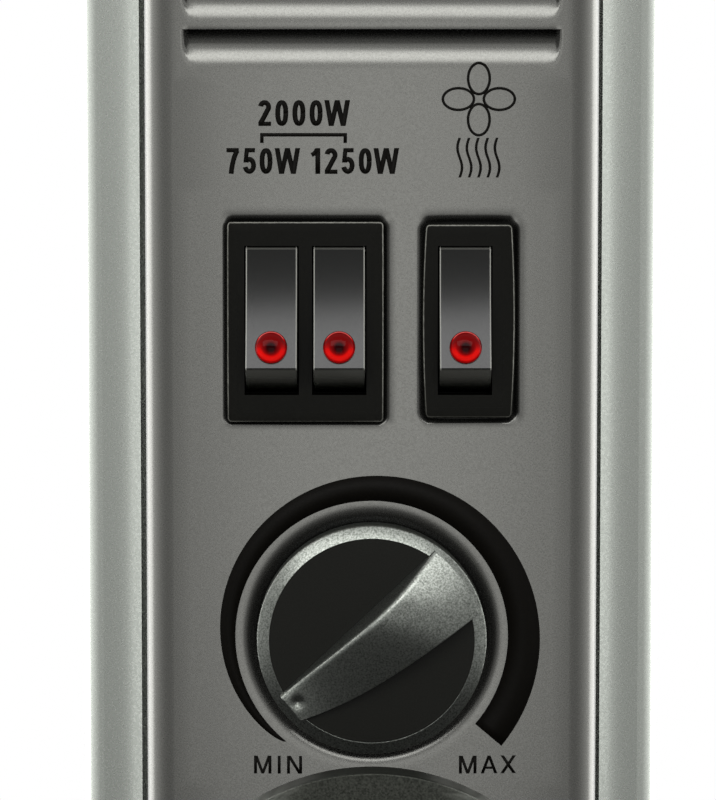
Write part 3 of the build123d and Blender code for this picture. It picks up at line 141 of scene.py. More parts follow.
world = bpy.data.worlds.new("studio")
scene.world = world
world.use_nodes = True
tree = world.node_tree
tree.nodes.clear()
light_path = add_node(tree, "ShaderNodeLightPath")
direction = add_node(tree, "ShaderNodeTexCoord")
parts = add_node(tree, "ShaderNodeSeparateXYZ", {"Vector": direction.outputs["Generated"]})
room = add_node(
    tree,
    "ShaderNodeMapRange",
    {
        "Value": parts.outputs["Y"],
        "From Min": FRONT_TO_SIDES[0],
        "From Max": FRONT_TO_SIDES[1],
        "To Min": ROOM_FRONT,
        "To Max": ROOM_SIDES,
    },
    interpolation_type="SMOOTHSTEP",
)
ground = add_node(
    tree,
    "ShaderNodeMapRange",
    {
        "Value": parts.outputs["Z"],
        "From Min": BELOW_TO_LEVEL[0],
        "From Max": BELOW_TO_LEVEL[1],
        "To Min": ROOM_BELOW,
        "To Max": 1.0,
    },
    interpolation_type="SMOOTHSTEP",
)
mirrored = add_node(
    tree,
    "ShaderNodeMath",
    {0: room.outputs["Result"], 1: ground.outputs["Result"]},
    operation="MULTIPLY",
)
lit = add_node(
    tree,
    "ShaderNodeMix",
    {0: light_path.outputs["Is Glossy Ray"], 2: WORLD_LEVEL, 3: mirrored.outputs[0]},
    data_type="FLOAT",
)
seen = add_node(
    tree,
    "ShaderNodeMath",
    {0: light_path.outputs["Is Camera Ray"], 1: light_path.outputs["Is Transmission Ray"]},
    operation="MAXIMUM",
)
level = add_node(tree, "ShaderNodeMix", {0: seen.outputs[0], 2: lit.outputs[0], 3: 1.0}, data_type="FLOAT")
white = linear("#ffffff")
background = add_node(tree, "ShaderNodeBackground", {"Color": white, "Strength": level.outputs[0]})
add_node(tree, "ShaderNodeOutputWorld", {"Surface": background.outputs["Background"]})
print("world ready, matt level", WORLD_LEVEL)

# %% Lamps
LOOK_AT = np.array([0.0, PANEL_Y, KNOB_Z + 40])


def softbox(name, place, width, height, radiance):
    """A rectangular lamp that faces the panel; its power is its radiance times pi times its area."""
    lamp_data = bpy.data.lights.new(name, "AREA")
    lamp_data.shape = "RECTANGLE"
    lamp_data.size, lamp_data.size_y = width, height
    lamp_data.energy = radiance * math.pi * width * height
    lamp = bpy.data.objects.new(name, lamp_data)
    start = LOOK_AT + np.array(place)
    lamp.location = start * MM
    lamp.rotation_euler = Vector(LOOK_AT - start).to_track_quat("-Z", "Y").to_euler()
    lamp.visible_camera = False
    scene.collection.objects.link(lamp)
    return lamp


# Each place is in millimetres from the point looked at; widths and heights are in metres.
softbox("lamp_above", (-120, -1060, 740), 1.8, 0.62, 3.2)
softbox("lamp_left", (-880, 540, 200), 0.7, 1.3, 2.5)
softbox("lamp_right", (880, 540, 200), 0.7, 1.3, 2.5)
strip = softbox("lamp_behind_camera", (10, -1450, -90), 0.67, 0.7, 0.95)

# %% [markdown]
# ## The floor
# A pale floor carries the heater and its soft shadow. Far from the heater it fades into the white of the
# background for the camera alone, so no horizon shows.

# %% Material of the floor
FADE_FROM, FADE_TO = 0.4, 0.85
material, tree = start_material("pale_floor")
light_path = add_node(tree, "ShaderNodeLightPath")
place = add_node(tree, "ShaderNodeTexCoord")
far = add_node(tree, "ShaderNodeVectorMath", {0: place.outputs["Object"]}, operation="LENGTH")
fade = add_node(
    tree,
    "ShaderNodeMapRange",
    {"Value": far.outputs["Value"], "From Min": FADE_FROM, "From Max": FADE_TO, "To Min": 0.0, "To Max": 1.0},
    interpolation_type="SMOOTHSTEP",
)
speck = add_node(
    tree, "ShaderNodeTexNoise", {"Vector": place.outputs["Object"], "Scale": 9.0, "Detail": 3.0}
)
tone = add_node(
    tree,
    "ShaderNodeMix",
    {0: speck.outputs[0], 6: linear("#e2e1de"), 7: linear("#edecea")},
    data_type="RGBA",
)
matt = add_node(tree, "ShaderNodeBsdfPrincipled", {"Base Color": tone.outputs[2], "Roughness": 0.8})
glow = add_node(tree, "ShaderNodeEmission", {"Color": white, "Strength": 1.0})
share = add_node(
    tree,
    "ShaderNodeMath",
    {0: fade.outputs["Result"], 1: light_path.outputs["Is Camera Ray"]},
    operation="MULTIPLY",
)
blend = add_node(tree, "ShaderNodeMixShader", {0: share.outputs[0], 1: matt.outputs[0], 2: glow.outputs[0]})
add_node(tree, "ShaderNodeOutputMaterial", {"Surface": blend.outputs[0]})
print("floor fades between", FADE_FROM, "and", FADE_TO, "m")

# %% Floor
FLOOR_HALF = 4.0
floor_mesh = bpy.data.meshes.new("floor")
floor_corners = np.array([[-1, -1, 0], [1, -1, 0], [1, 1, 0], [-1, 1, 0]]) * FLOOR_HALF
floor_mesh.from_pydata(floor_corners.tolist(), [], [[0, 1, 2, 3]])
floor_mesh.materials.append(material)
floor = bpy.data.objects.new("floor", floor_mesh)
scene.collection.objects.link(floor)
floor.visible_glossy = False
print("floor, m:", 2 * FLOOR_HALF)

# %% [markdown]
# ## Finishes
# Most parts are moulded, painted or plated. Each of those finishes is two shades mixed by a fine grain, a
# gloss that wanders a little with the grain, and a relief as high as the real texture. The grain is given in
# millimetres, so a scale of one over the grain fits Object coordinates in metres.

# %% One grained finish
GRAIN_SPAN, GLOSS_SWING = (0.3, 0.7), 0.06


def grained(name, light, dark, metallic, roughness, grain, relief, shine=0.5, painted_light_shade=None):
    """A finish of two shades: noise of the given grain mixes them, shifts the gloss, lifts the surface.
    Where a piece carries the attribute of painted light and shade, the colour goes towards the last colour
    given: painted highlights on edges, painted shade in the panel's seams."""
    material, tree = start_material(name)
    place = add_node(tree, "ShaderNodeTexCoord")
    noise = add_node(
        tree,
        "ShaderNodeTexNoise",
        {"Vector": place.outputs["Object"], "Scale": 1 / (grain * MM), "Detail": 2.0, "Roughness": 0.6},
    )
    contrast = add_node(
        tree,
        "ShaderNodeMapRange",
        {"Value": noise.outputs[0], "From Min": GRAIN_SPAN[0], "From Max": GRAIN_SPAN[1]},
    )
    shade = add_node(
        tree,
        "ShaderNodeMix",
        {0: contrast.outputs["Result"], 6: linear(dark), 7: linear(light)},
        data_type="RGBA",
    )
    colour = shade.outputs[2]
    if painted_light_shade:
        # An attribute of painted light and shade pulls the colour towards the last colour given.
        edge = add_node(tree, "ShaderNodeAttribute", attribute_name="painted_light_shade")
        painted_tone = add_node(
            tree,
            "ShaderNodeMix",
            {0: edge.outputs["Fac"], 6: colour, 7: linear(painted_light_shade)},
            data_type="RGBA",
        )
        colour = painted_tone.outputs[2]
    gloss = add_node(
        tree,
        "ShaderNodeMapRange",
        {"Value": noise.outputs[0], "To Min": roughness + GLOSS_SWING, "To Max": roughness - GLOSS_SWING},
    )
    bump = add_node(
        tree,
        "ShaderNodeBump",
        {"Height": noise.outputs[0], "Distance": relief * MM, "Strength": 1.0},
    )
    shader = add_node(
        tree,
        "ShaderNodeBsdfPrincipled",
        {
            "Base Color": colour,
            "Metallic": metallic,
            "Roughness": gloss.outputs["Result"],
            "Normal": bump.outputs["Normal"],
            "Specular IOR Level": shine,
        },
    )
    add_node(tree, "ShaderNodeOutputMaterial", {"Surface": shader.outputs[0]})
    return material


# %% [markdown]
# Each slot of the record gets a finish from what the part is made of and how its surface was made. The
# winder's lacquer is the only one that is no slot of its own. The numbers are metallic, roughness, grain and
# relief in millimetres, and for some the strength of the shine. Some also have a last colour, which an
# attribute on some pieces paints in: painted highlights on edges and painted shade in the panel's seams.

# %% Moulded, painted and plated finishes
finishes = {
    # stoved silver enamel on steel sheet: aluminium flakes under a thin clear film, pale, softly shining
    "fin_paint": grained("silver_enamel_fins", "#dde2da", "#d2d7cf", 0.9, 0.28, 0.45, 0.0011),
    # the same kind of enamel, darker and smoother, on the control box; its last colour paints black shade
    # into seams and slits
    "panel_paint": grained(
        "grey_metallic_enamel", "#7d7d79", "#777773", 0.87, 0.27, 0.35, 0.0005, painted_light_shade="#060605"
    ),
    "foot_paint": grained("grey_enamel_feet", "#8d8f8b", "#7f817d", 0.8, 0.42, 0.5, 0.004),
    # bright zinc plate: cool, a little cloudy
    "zinc_steel": grained("zinc_plated_steel", "#c6c8c9", "#a9acae", 1.0, 0.32, 0.8, 0.003),
    "element_sheath": grained("steel_sheath", "#8f8a82", "#756f68", 1.0, 0.45, 0.6, 0.004),
    # glass-filled nylon, spark-eroded mould: nearly black, satin; its last colour paints a pale highlight
    # along the bezels' front edges
    "switch_black": grained("black_nylon", "#0c0c08", "#070704", 0.0, 0.4, 0.25, 0.004, 0.1, "#85857e"),
    # ABS in a dark grey, fine matt mould texture; its last colour paints highlights along the rockers' edges
    # and light on their lower ends
    "rocker_grey": grained("dark_grey_abs", "#0e0f0c", "#050604", 0.0, 0.24, 0.3, 0.004, 0.6, "#8a8a84"),
    # ABS with silver lacquer: aluminium flakes that glitter, drawn as coarse as the picture can show
    "silver_plastic": grained("silver_lacquered_abs", "#b3b7b0", "#686c66", 1.0, 0.33, 0.28, 0.007),
    # the same lacquer over a dark base, on the cord winder's plate; its pale colour paints highlights at the
    # plate's sides
    "winder_lacquer": grained(
        "dark_silver_lacquered_abs", "#40423c", "#1d1f1a", 0.75, 0.34, 0.3, 0.008, painted_light_shade="#8f918a"
    ),
    "insert_black": grained("black_matt_abs", "#12130d", "#080805", 0.0, 0.5, 0.25, 0.006, 0.18),
    # polypropylene with a leather-like mould grain, as on handles
    "handle_black": grained("black_polypropylene", "#232322", "#191918", 0.0, 0.5, 0.9, 0.03),
    "castor_black": grained("black_castor_nylon", "#222221", "#171716", 0.0, 0.42, 0.5, 0.01),
    "wheel_grey": grained("grey_castor_tread", "#4a4b4a", "#3b3c3b", 0.0, 0.55, 0.6, 0.01),
    "cord_rubber": grained("black_rubber_bush", "#1e1e1d", "#151514", 0.0, 0.6, 0.4, 0.01),
    "bakelite": grained("brown_phenolic", "#3a2a20", "#291d16", 0.0, 0.4, 0.7, 0.004),
    "terminal_nylon": grained("natural_nylon", "#d8d3c2", "#c6c0ad", 0.0, 0.45, 0.6, 0.006),
    "terminal_brass": grained("tinned_brass", "#c9b98a", "#b3a173", 1.0, 0.35, 0.5, 0.003),
    "ptc_aluminium": grained("bare_aluminium", "#c9cbcc", "#b4b6b8", 1.0, 0.4, 0.6, 0.004),
    "impeller_grey": grained("grey_fan_abs", "#6d6e6c", "#5c5d5b", 0.0, 0.45, 0.6, 0.008),
    "wire_sleeve": grained("glass_fibre_sleeve", "#cfc8b8", "#b4ad9d", 0.0, 0.7, 0.5, 0.03),
}
print("grained finishes:", len(finishes))

# %% [markdown]
# The indicator lenses are clear red acrylic over a dark hole. Their colour follows an attribute that the
# domes carry, with light and shade painted in: a painted dark middle for the hole, red outside it, painted
# brightness at the lower edge where the light gathers, and a painted glint near the upper edge.

# %% Red acrylic of the lenses
red_acrylic, tree = start_material("red_acrylic")
glow_map = add_node(tree, "ShaderNodeAttribute", attribute_name="lens_glow")
ramp = add_node(tree, "ShaderNodeValToRGB", {"Fac": glow_map.outputs["Fac"]})
# From the painted dark of the hole to the painted bright lower edge; the palest stop is the painted glint.
stops = ((0.0, "#1c0203"), (0.4, "#640506"), (0.62, "#870708"), (0.85, "#c00d0a"), (1.0, "#e0a39c"))
while len(ramp.color_ramp.elements) < len(stops):
    ramp.color_ramp.elements.new(0.5)
for element, (position, code) in zip(ramp.color_ramp.elements, stops):
    element.position = position
    element.color = linear(code)
# A faint emission in the same colours makes the domes glow a little: painted light.
shader = add_node(
    tree,
    "ShaderNodeBsdfPrincipled",
    {
        "Base Color": ramp.outputs["Color"],
        "Roughness": 0.06,
        "Specular IOR Level": 0.06,
        "Emission Color": ramp.outputs["Color"],
        "Emission Strength": 0.08,
    },
)
add_node(tree, "ShaderNodeOutputMaterial", {"Surface": shader.outputs[0]})
finishes["lens_red"] = red_acrylic
print("red acrylic:", len(stops), "shades from the middle to the lower edge")

# %% Finishes on the CAD nodes
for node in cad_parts.values():
    slot = node.data.materials[0].name
    node.data.materials[0] = finishes[slot]
print("finishes:", len(finishes), "on", len(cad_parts), "CAD nodes")

# %% [markdown]
# ## Surfaces from numpy
# A piece is a grid of points worked out as whole arrays. Neighbouring points make quads, points that fall
# together are merged, and the mesh goes to Blender in one call. All sizes are in millimetres until then.

# %% Mesh helpers
# Points are merged on a lattice with so many steps to the millimetre, shifted off the round numbers.
MERGE_STEPS, OFF_GRID = 1e4, 0.123


def grid_faces(rows, columns):
    """Quads of a grid of rows by columns; they face the viewer if columns run right and rows run up."""
    first = (np.arange(rows - 1)[:, None] * columns + np.arange(columns - 1)).ravel()
    return np.stack([first, first + 1, first + columns + 1, first + columns], axis=1)


def merge(sheets):
    """Joins sheets of (points, faces), merges points within a tenth of a micron, drops those of no face."""
    counts = np.cumsum([0] + [len(points) for points, _ in sheets])
    points = np.concatenate([points for points, _ in sheets])
    rounded = np.round(points * MERGE_STEPS + OFF_GRID)
    _, kept, place = np.unique(rounded, axis=0, return_index=True, return_inverse=True)
    place = place.ravel()
    faces = [place[face + start] for (_, group), start in zip(sheets, counts) for face in group]
    used = np.zeros(len(kept), bool)
    used[np.concatenate([face.ravel() for face in faces])] = True
    number = np.cumsum(used) - 1
    return points[kept][used], [number[face] for face in faces]


def add_piece(name, sheets, body, slot, replaced=(), finish=None):
    """Makes one piece from sheets of (points in mm, list of face arrays) and lets it ride on a CAD body.
    Its finish is that of its slot unless another is given."""
    points, faces = merge(sheets)
    rings = [list(dict.fromkeys(ring)) for group in faces for ring in group.tolist()]
    mesh = bpy.data.meshes.new(name)
    mesh.from_pydata((points * MM).tolist(), [], [ring for ring in rings if len(ring) > 2])
    mesh.polygons.foreach_set("use_smooth", np.ones(len(mesh.polygons), bool))
    mesh.materials.append(finish or finishes[slot])
    mesh.update()
    piece = bpy.data.objects.new(name, mesh)
    scene.collection.objects.link(piece)
    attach(piece, body)
    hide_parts(*replaced)
    print(name, "-", len(mesh.vertices), "points,", len(mesh.polygons), "faces")
    return piece


def mark(piece, name, rule):
    """Gives every point of a piece a number, worked out by a rule from the points in millimetres."""
    flat = np.empty(len(piece.data.vertices) * 3)
    piece.data.vertices.foreach_get("co", flat)
    attribute = piece.data.attributes.new(name, "FLOAT", "POINT")
    attribute.data.foreach_set("value", rule(flat.reshape(-1, 3) / MM).astype(np.float32))


# %% [markdown]
# ## The pressed front panel
# The front of the control box is one sheet of steel: its edges are rounded, and a press has pushed louvres,
# two switch pockets and the knob's dish into it. A CAD cover has crisp corners there, while the real sheet
# bends over soft radii that catch the light. A height field on a grid gives those bends: each tool's depth is
# a function of how far a point lies inside the tool's outline.

# %% Outline of the panel
CROWN = 1.8
HALF = cover_high[0]
BOTTOM, TOP = cover_low[2], cover_high[2]


def ease(share):
    """A step from 0 to 1 with level ends: 3 t squared less 2 t cubed."""
    share = np.clip(share, 0, 1)
    return share * share * (3 - 2 * share)


def crown(x, y):
    """How far the sheet lies back: a parabola across the front that dies out evenly towards the back."""
    return CROWN * (x / HALF) ** 2 * (cover_high[1] - y) / (cover_high[1] - PANEL_Y)


def box_distance(x, z, centre, size, corner):
    """Signed distance to a rectangle with round corners, in mm, negative inside it."""
    across = np.abs(x - centre[0]) - size[0] / 2 + corner
    up = np.abs(z - centre[1]) - size[1] / 2 + corner
    beyond = np.hypot(np.maximum(across, 0), np.maximum(up, 0))
    return beyond + np.minimum(np.maximum(across, up), 0) - corner


print("panel, mm:", round(2 * HALF, 1), "wide, from", round(BOTTOM, 1), "to", round(TOP, 1))

# %% [markdown]
# A louvre is a lip that the press has bent inwards below a slit. Its side view is a circle's arc and then a
# straight line, and a rectangle with round corners fades it out at both ends.

# %% Louvres
LOUVRE_WIDTH, LOUVRE_HEIGHT, LOUVRE_PITCH, LOUVRE_CORNER = 60.3, 6.7, 7.2, 4.5
LOUVRE_BEND, LOUVRE_SLOPE, LOUVRE_LEAD, LOUVRE_END = 7.5, math.radians(38), 0.45, 0.9
FAR_ABOVE, RANK_SLACK, ROW_SLACK = 40.0, 1e-4, 1e-3
ROLL_DEPTH, ROLL_HEIGHT = 0.13, 1.0
OUTLET_Z, OUTLET_COUNT = KNOB_Z + 97.2, 12
INTAKE_Z, INTAKE_COUNT = cover_low[2] + 60, 8


def louvre_depth(x, z, first, count):
    """Depth of a row of louvres: a round bend that starts softly at the lower edge, then a straight slope
    inwards up to the slit. Above each slit the sheet's edge is rolled in a little, along a parabola."""
    slit = first + LOUVRE_PITCH * np.clip(np.ceil((z - first) / LOUVRE_PITCH - RANK_SLACK), 0, count - 1)
    above = z > slit + ROW_SLACK
    rise = np.clip(z - slit + LOUVRE_HEIGHT, 0, LOUVRE_HEIGHT)
    rise = rise - LOUVRE_LEAD * (1 - np.exp(-rise / LOUVRE_LEAD))
    bend_run = LOUVRE_BEND * math.sin(LOUVRE_SLOPE)
    scoop = LOUVRE_BEND - np.sqrt(LOUVRE_BEND**2 - np.minimum(rise, bend_run) ** 2)
    scoop = scoop + np.maximum(rise - bend_run, 0) * math.tan(LOUVRE_SLOPE)
    below = np.where(slit > first + ROW_SLACK, z - slit + LOUVRE_PITCH, ROLL_HEIGHT)
    over_slit = np.where(above, z - slit, below)
    roll = ROLL_DEPTH * np.clip(1 - over_slit / ROLL_HEIGHT, 0, 1) ** 2
    middle, size = (0, FAR_ABOVE / 2 - LOUVRE_HEIGHT), (LOUVRE_WIDTH, FAR_ABOVE)
    edge = box_distance(x, z - slit, middle, size, LOUVRE_CORNER)
    depth = np.where(above, 0, scoop) * ease(-edge / LOUVRE_END)
    return np.maximum(depth, roll * ease((LOUVRE_WIDTH / 2 - np.abs(x)) / LOUVRE_END))


def louvres(x, z):
    """The larger depth of the two runs of louvres, the outlet's and the intake's."""
    return np.maximum(louvre_depth(x, z, OUTLET_Z, OUTLET_COUNT), louvre_depth(x, z, INTAKE_Z, INTAKE_COUNT))


print("louvre at its slit, mm:", round(float(louvres(np.zeros(1), np.array([OUTLET_Z]))[0]), 3))

# %% [markdown]
# A pocket's wall is a bend, a slope and a floor. Its bend is wider on some sides than on others, and the
# press has left bulges at three of its corners. The dish under the knob deepens with the cube of the way in
# from its rim.

# %% Pockets and dish
POCKET_DEPTH, POCKET_SLOPE, POCKET_GAP, POCKET_CORNER = 0.7, math.radians(66), 0.15, 1.0
POCKET_BEND, LEAST_BEND = (0.6, 0.8, 1.2, 0.15), 0.1
BULGE_OUT, BULGE_RADIUS, BULGES = 0.6, 0.7, ((-1, 1, 0.5), (1, 1, 0.8), (1, -1, 1.0))
DISH_DEPTH, DISH_FLOOR, DISH_RIM = 1.6, 18.4, 22.0
FLOOR_BLEND = 0.25
double_low, double_high = corners("double_switch_housing")
single_low, single_high = corners("single_switch_housing")
# The bezels' outlines: centre, size and how far their upright sides bow out.
bezels = {
    "double": ((-10.6, KNOB_Z + 50.66), (24.9, 31.98), 0.05),
    "single": ((15.5, KNOB_Z + 50.8), (13.7, 30.8), 0.5),
}


def pressed_wall(outside, depth, bend, slope):
    """Depth of a pressed wall at a distance outside its foot: a round bend, a straight slope, a level floor.
    The bend is a circle's arc until the slope is reached; a soft minimum turns the slope into the floor."""
    bend_run, bend_drop = bend * math.sin(slope), bend * (1 - math.cos(slope))
    width = bend_run + (depth - bend_drop) / math.tan(slope)
    inward = np.maximum(width - outside, 0)
    curved = bend - np.sqrt(bend**2 - np.minimum(inward, bend_run) ** 2)
    straight = np.maximum(inward - bend_run, 0) * math.tan(slope)
    raw = curved + straight
    least = 0.5 * (raw + depth - np.sqrt((raw - depth) ** 2 + FLOOR_BLEND**2))
    return least + 0.5 * (np.sqrt(depth**2 + FLOOR_BLEND**2) - depth)


def by_side(x, z, centre, size, values):
    """One value each for left, right, above and below a rectangle, blended by the direction outwards;
    inside it, the least of them."""
    across = x - centre[0] - np.clip(x - centre[0], -size[0] / 2, size[0] / 2)
    up = z - centre[1] - np.clip(z - centre[1], -size[1] / 2, size[1] / 2)
    far = np.maximum(across**2 + up**2, 1e-9)
    left, right, above, below = values
    blended = (np.where(across < 0, left, right) * across**2 + np.where(up > 0, above, below) * up**2) / far
    return blended + (far < 1e-8) * min(values)


def pucker(x, z, centre, size):
    """One where the sheet bulges at a pocket's corners, falling as exp(-(d / r)^2) at a distance d."""
    total = 0
    for a, b, weight in BULGES:
        across = x - centre[0] - a * (size[0] / 2 + BULGE_OUT)
        up = z - centre[1] - b * (size[1] / 2 + BULGE_OUT)
        total = total + weight * np.exp(-(across**2 + up**2) / BULGE_RADIUS**2)
    return total


def pressing(x, z):
    """How deep the panel is pressed in at x and z: the deepest of the louvres, the pockets and the dish."""
    depths = [louvres(x, z)]
    for centre, size, bow in bezels.values():
        foot = box_distance(x, z, centre, size, POCKET_CORNER) - POCKET_GAP - bow
        bend = np.maximum(by_side(x, z, centre, size, POCKET_BEND), LEAST_BEND)
        wall = pressed_wall(foot, POCKET_DEPTH, bend, POCKET_SLOPE)
        depths.append(wall * (1 - pucker(x, z, centre, size)))
    inward = np.clip((DISH_RIM - np.hypot(x, z - KNOB_Z)) / (DISH_RIM - DISH_FLOOR), 0, 1)
    depths.append(DISH_DEPTH * inward**3)
    return np.max(depths, axis=0)


print("deepest pressing, mm:", round(float(pressing(np.zeros(1), np.array([KNOB_Z]))[0]), 3))

# %% [markdown]
# Shade is painted into the seams beside the bezels, under the knob and in the slits, so they look black. An
# attribute carries that painted shade to the enamel, so it follows the shapes. Beside a pocket and in the
# dish it ends at the first distances and is full at the second, each for left, right, above and below. In a
# louvre it goes by the depth.

# %% Painted shade in the seams
LOUVRE_BLACK, POCKET_BLACK, DISH_BLACK = 0.8, 0.93, 0.76
LOUVRE_SHADE_FROM, LOUVRE_SHADE_OVER = 1.6, 1.3
POCKET_SHADE = ((1.3, 2.3, 2.7, 1.5), (-0.3, -0.1, -0.3, -0.2))
DISH_SHADE = ((3.0, 3.0, 2.8, 0.6), (0.3, 0.3, 0.2, -2.0))
FRONT_REACH = 8


def seam_shade(points):
    """How dark the painted shade makes the paint at a seam: the largest of the shades beside a bezel, under
    the knob's edge and deep in a louvre, each eased from nothing to its full share of black."""
    x, z = points[:, 0], points[:, 2]
    shades = [LOUVRE_BLACK * ease((louvres(x, z) - LOUVRE_SHADE_FROM) / LOUVRE_SHADE_OVER)]
    for centre, size, bow in bezels.values():
        away = box_distance(x, z, centre, size, POCKET_CORNER) - bow
        reach, core = (by_side(x, z, centre, size, values) for values in POCKET_SHADE)
        shade = POCKET_BLACK * ease((reach - away) / (reach - core))
        shades.append(shade * (1 - pucker(x, z, centre, size)))
    away = np.hypot(x, z - KNOB_Z) - DISH_FLOOR
    reach, core = (by_side(x, z, (0, KNOB_Z), (0, 0), values) for values in DISH_SHADE)
    shades.append(DISH_BLACK * ease((reach - away) / (reach - core)))
    return np.max(shades, axis=0) * (points[:, 1] < PANEL_Y + FRONT_REACH)


print("shares of black:", LOUVRE_BLACK, POCKET_BLACK, DISH_BLACK)

# %% [markdown]
# The sheet is divided into bands from bottom to top. Each band has its own upright lines, close together
# only where a tool has shaped the metal. Between two bands a strip of triangles joins rows of different
# counts.

# %% Bands of the panel
EDGE_BEND, BEND_STEP = 4.7, 0.59
SLIT, SLIT_DEPTH = 0.04, 0.05
DISH_STEP, DISH_REACH = 0.55, 23.5
POCKET_STEP, OUTSIDE, WITHIN = 0.27, 3, 1


def lines(*spans):
    """Grid lines: each span (start, end, step) divided evenly into steps no longer than that."""
    runs = [np.linspace(a, b, max(2, math.ceil((b - a) / step) + 1)) for a, b, step in spans]
    return np.unique(np.round(np.concatenate(runs), 4))


def across(*spans):
    """Lines from the left edge to the right one, close together in the rounded edges."""
    left, right = (-HALF, EDGE_BEND - HALF, BEND_STEP), (HALF - EDGE_BEND, HALF, BEND_STEP)
    return lines(left, *spans, right)


def louvre_rows(first, count):
    """Rows of a run of louvres: along each scoop, then twice at its slit."""
    one = lines((0.2 - LOUVRE_PITCH, 1 - LOUVRE_PITCH, 0.2), (1 - LOUVRE_PITCH, 0, 0.8))
    return (first + LOUVRE_PITCH * np.arange(count)[:, None] + np.append(one, SLIT)).ravel()


inner = HALF - EDGE_BEND
plain = across((-inner, inner, 9))
louvre_end = [(25, 29, 0.8), (29, 31, 0.25), (31, inner, 1.3)]
louvred = across(*[(-b, -a, step) for a, b, step in louvre_end], (-25, 25, 5), *louvre_end)
dished = across((-inner, -DISH_REACH, 3), (-DISH_REACH, DISH_REACH, DISH_STEP), (DISH_REACH, inner, 3))
first, second, third, fourth = double_low[0], double_high[0], single_low[0], single_high[0]
pocketed = across(
    (-inner, first - OUTSIDE, 3),
    (first - OUTSIDE, first + WITHIN, POCKET_STEP),
    (first + WITHIN, second - WITHIN, 2),
    (second - WITHIN, third + WITHIN, POCKET_STEP),
    (third + WITHIN, fourth - WITHIN, 2),
    (fourth - WITHIN, fourth + OUTSIDE, POCKET_STEP),
    (fourth + OUTSIDE, inner, 3),
)
low, high = double_low[2], double_high[2]
pocket_rows = lines(
    (low - OUTSIDE, low + WITHIN, POCKET_STEP),
    (low + WITHIN, high - WITHIN, 1.4),
    (high - WITHIN, high + OUTSIDE + 1, POCKET_STEP),
)
over_outlet = OUTLET_Z + (OUTLET_COUNT - 1) * LOUVRE_PITCH + 1.2
bands = [
    (plain, lines((BOTTOM, BOTTOM + EDGE_BEND, BEND_STEP), (BOTTOM + EDGE_BEND, INTAKE_Z - 8, 12))),
    (louvred, louvre_rows(INTAKE_Z, INTAKE_COUNT)),
    (plain, lines((INTAKE_Z + INTAKE_COUNT * LOUVRE_PITCH - 4, KNOB_Z - 25, 20))),
    (dished, lines((KNOB_Z - DISH_REACH, KNOB_Z + DISH_REACH, DISH_STEP))),
    (pocketed, pocket_rows),
    (plain, lines((high + 6, OUTLET_Z - LOUVRE_HEIGHT - 2, 6))),
    (louvred, louvre_rows(OUTLET_Z, OUTLET_COUNT)),
    (plain, lines((over_outlet, TOP - EDGE_BEND, 4), (TOP - EDGE_BEND, TOP, BEND_STEP))),
]
print("bands:", [f"{len(x)}x{len(z)}" for x, z in bands])

# %% Sheets of the panel
SHAFT_HOLE, POCKET_MARGIN = 5.2, 1.4


def bent_box(points):
    """Rounds the box: a point goes to the nearest place of a core smaller by the bend, then out by it."""
    low = np.array([-HALF, PANEL_Y, BOTTOM]) + EDGE_BEND
    high = np.array([HALF - EDGE_BEND, cover_high[1], TOP - EDGE_BEND])
    core = np.clip(points, low, high)
    out = points - core
    return core + EDGE_BEND * out / np.linalg.norm(out, axis=-1, keepdims=True)


def formed(x, z):
    """Points of the front, rounded, pressed in and arched, and how deep each of them is pressed."""
    points = bent_box(np.stack([x, np.full_like(x, PANEL_Y), z], axis=-1))
    depth = pressing(x, z)
    points[..., 1] += depth
    points[..., 1] += crown(points[..., 0], points[..., 1])
    return points.reshape(-1, 3), depth.ravel()


def band_sheet(x_lines, z_lines):
    """One band of the front without its slits and its open holes."""
    x, z = np.meshgrid(x_lines, z_lines)
    points, depth = formed(x, z)
    faces = grid_faces(len(z_lines), len(x_lines))
    middle = points[faces].mean(axis=1)
    slit = (np.ptp(z.ravel()[faces], axis=1) < 1.5 * SLIT) & (depth[faces][:, :2].min(axis=1) > SLIT_DEPTH)
    hole = np.hypot(middle[:, 0], middle[:, 2] - KNOB_Z) < SHAFT_HOLE
    for low, high in ((double_low, double_high), (single_low, single_high)):
        inside = np.abs(middle - (low + high) / 2) < (high - low) / 2 - POCKET_MARGIN
        hole |= inside[:, 0] & inside[:, 2]
    return points, [faces[~(slit | hole)]]


def zip_rows(x_below, z_below, x_above, z_above):
    """Triangles between two rows: each stretch of one row meets the point of the other facing its middle."""
    middle_below, middle_above = (x_below[1:] + x_below[:-1]) / 2, (x_above[1:] + x_above[:-1]) / 2
    n, i, j = len(x_below), np.arange(len(x_below) - 1), np.arange(len(x_above) - 1)
    tips_up = np.stack([i, i + 1, n + np.searchsorted(middle_above, middle_below, "left")], axis=1)
    tips_down = np.stack([n + j, np.searchsorted(middle_below, middle_above, "right"), n + j + 1], axis=1)
    z = np.repeat([z_below, z_above], [n, len(x_above)])
    points, _ = formed(np.append(x_below, x_above), z)
    return points, [tips_up, tips_down]


def wall_sheet(first, second, fixed):
    """A side of the box: a grid over two axes with the third coordinate fixed, then rounded."""
    u, v = np.meshgrid(first[1], second[1])
    points = np.empty((*u.shape, 3))
    points[..., first[0]], points[..., second[0]], points[..., fixed[0]] = u, v, fixed[1]
    points = bent_box(points)
    points[..., 1] += crown(points[..., 0], points[..., 1])
    return points.reshape(-1, 3), [grid_faces(*u.shape)]


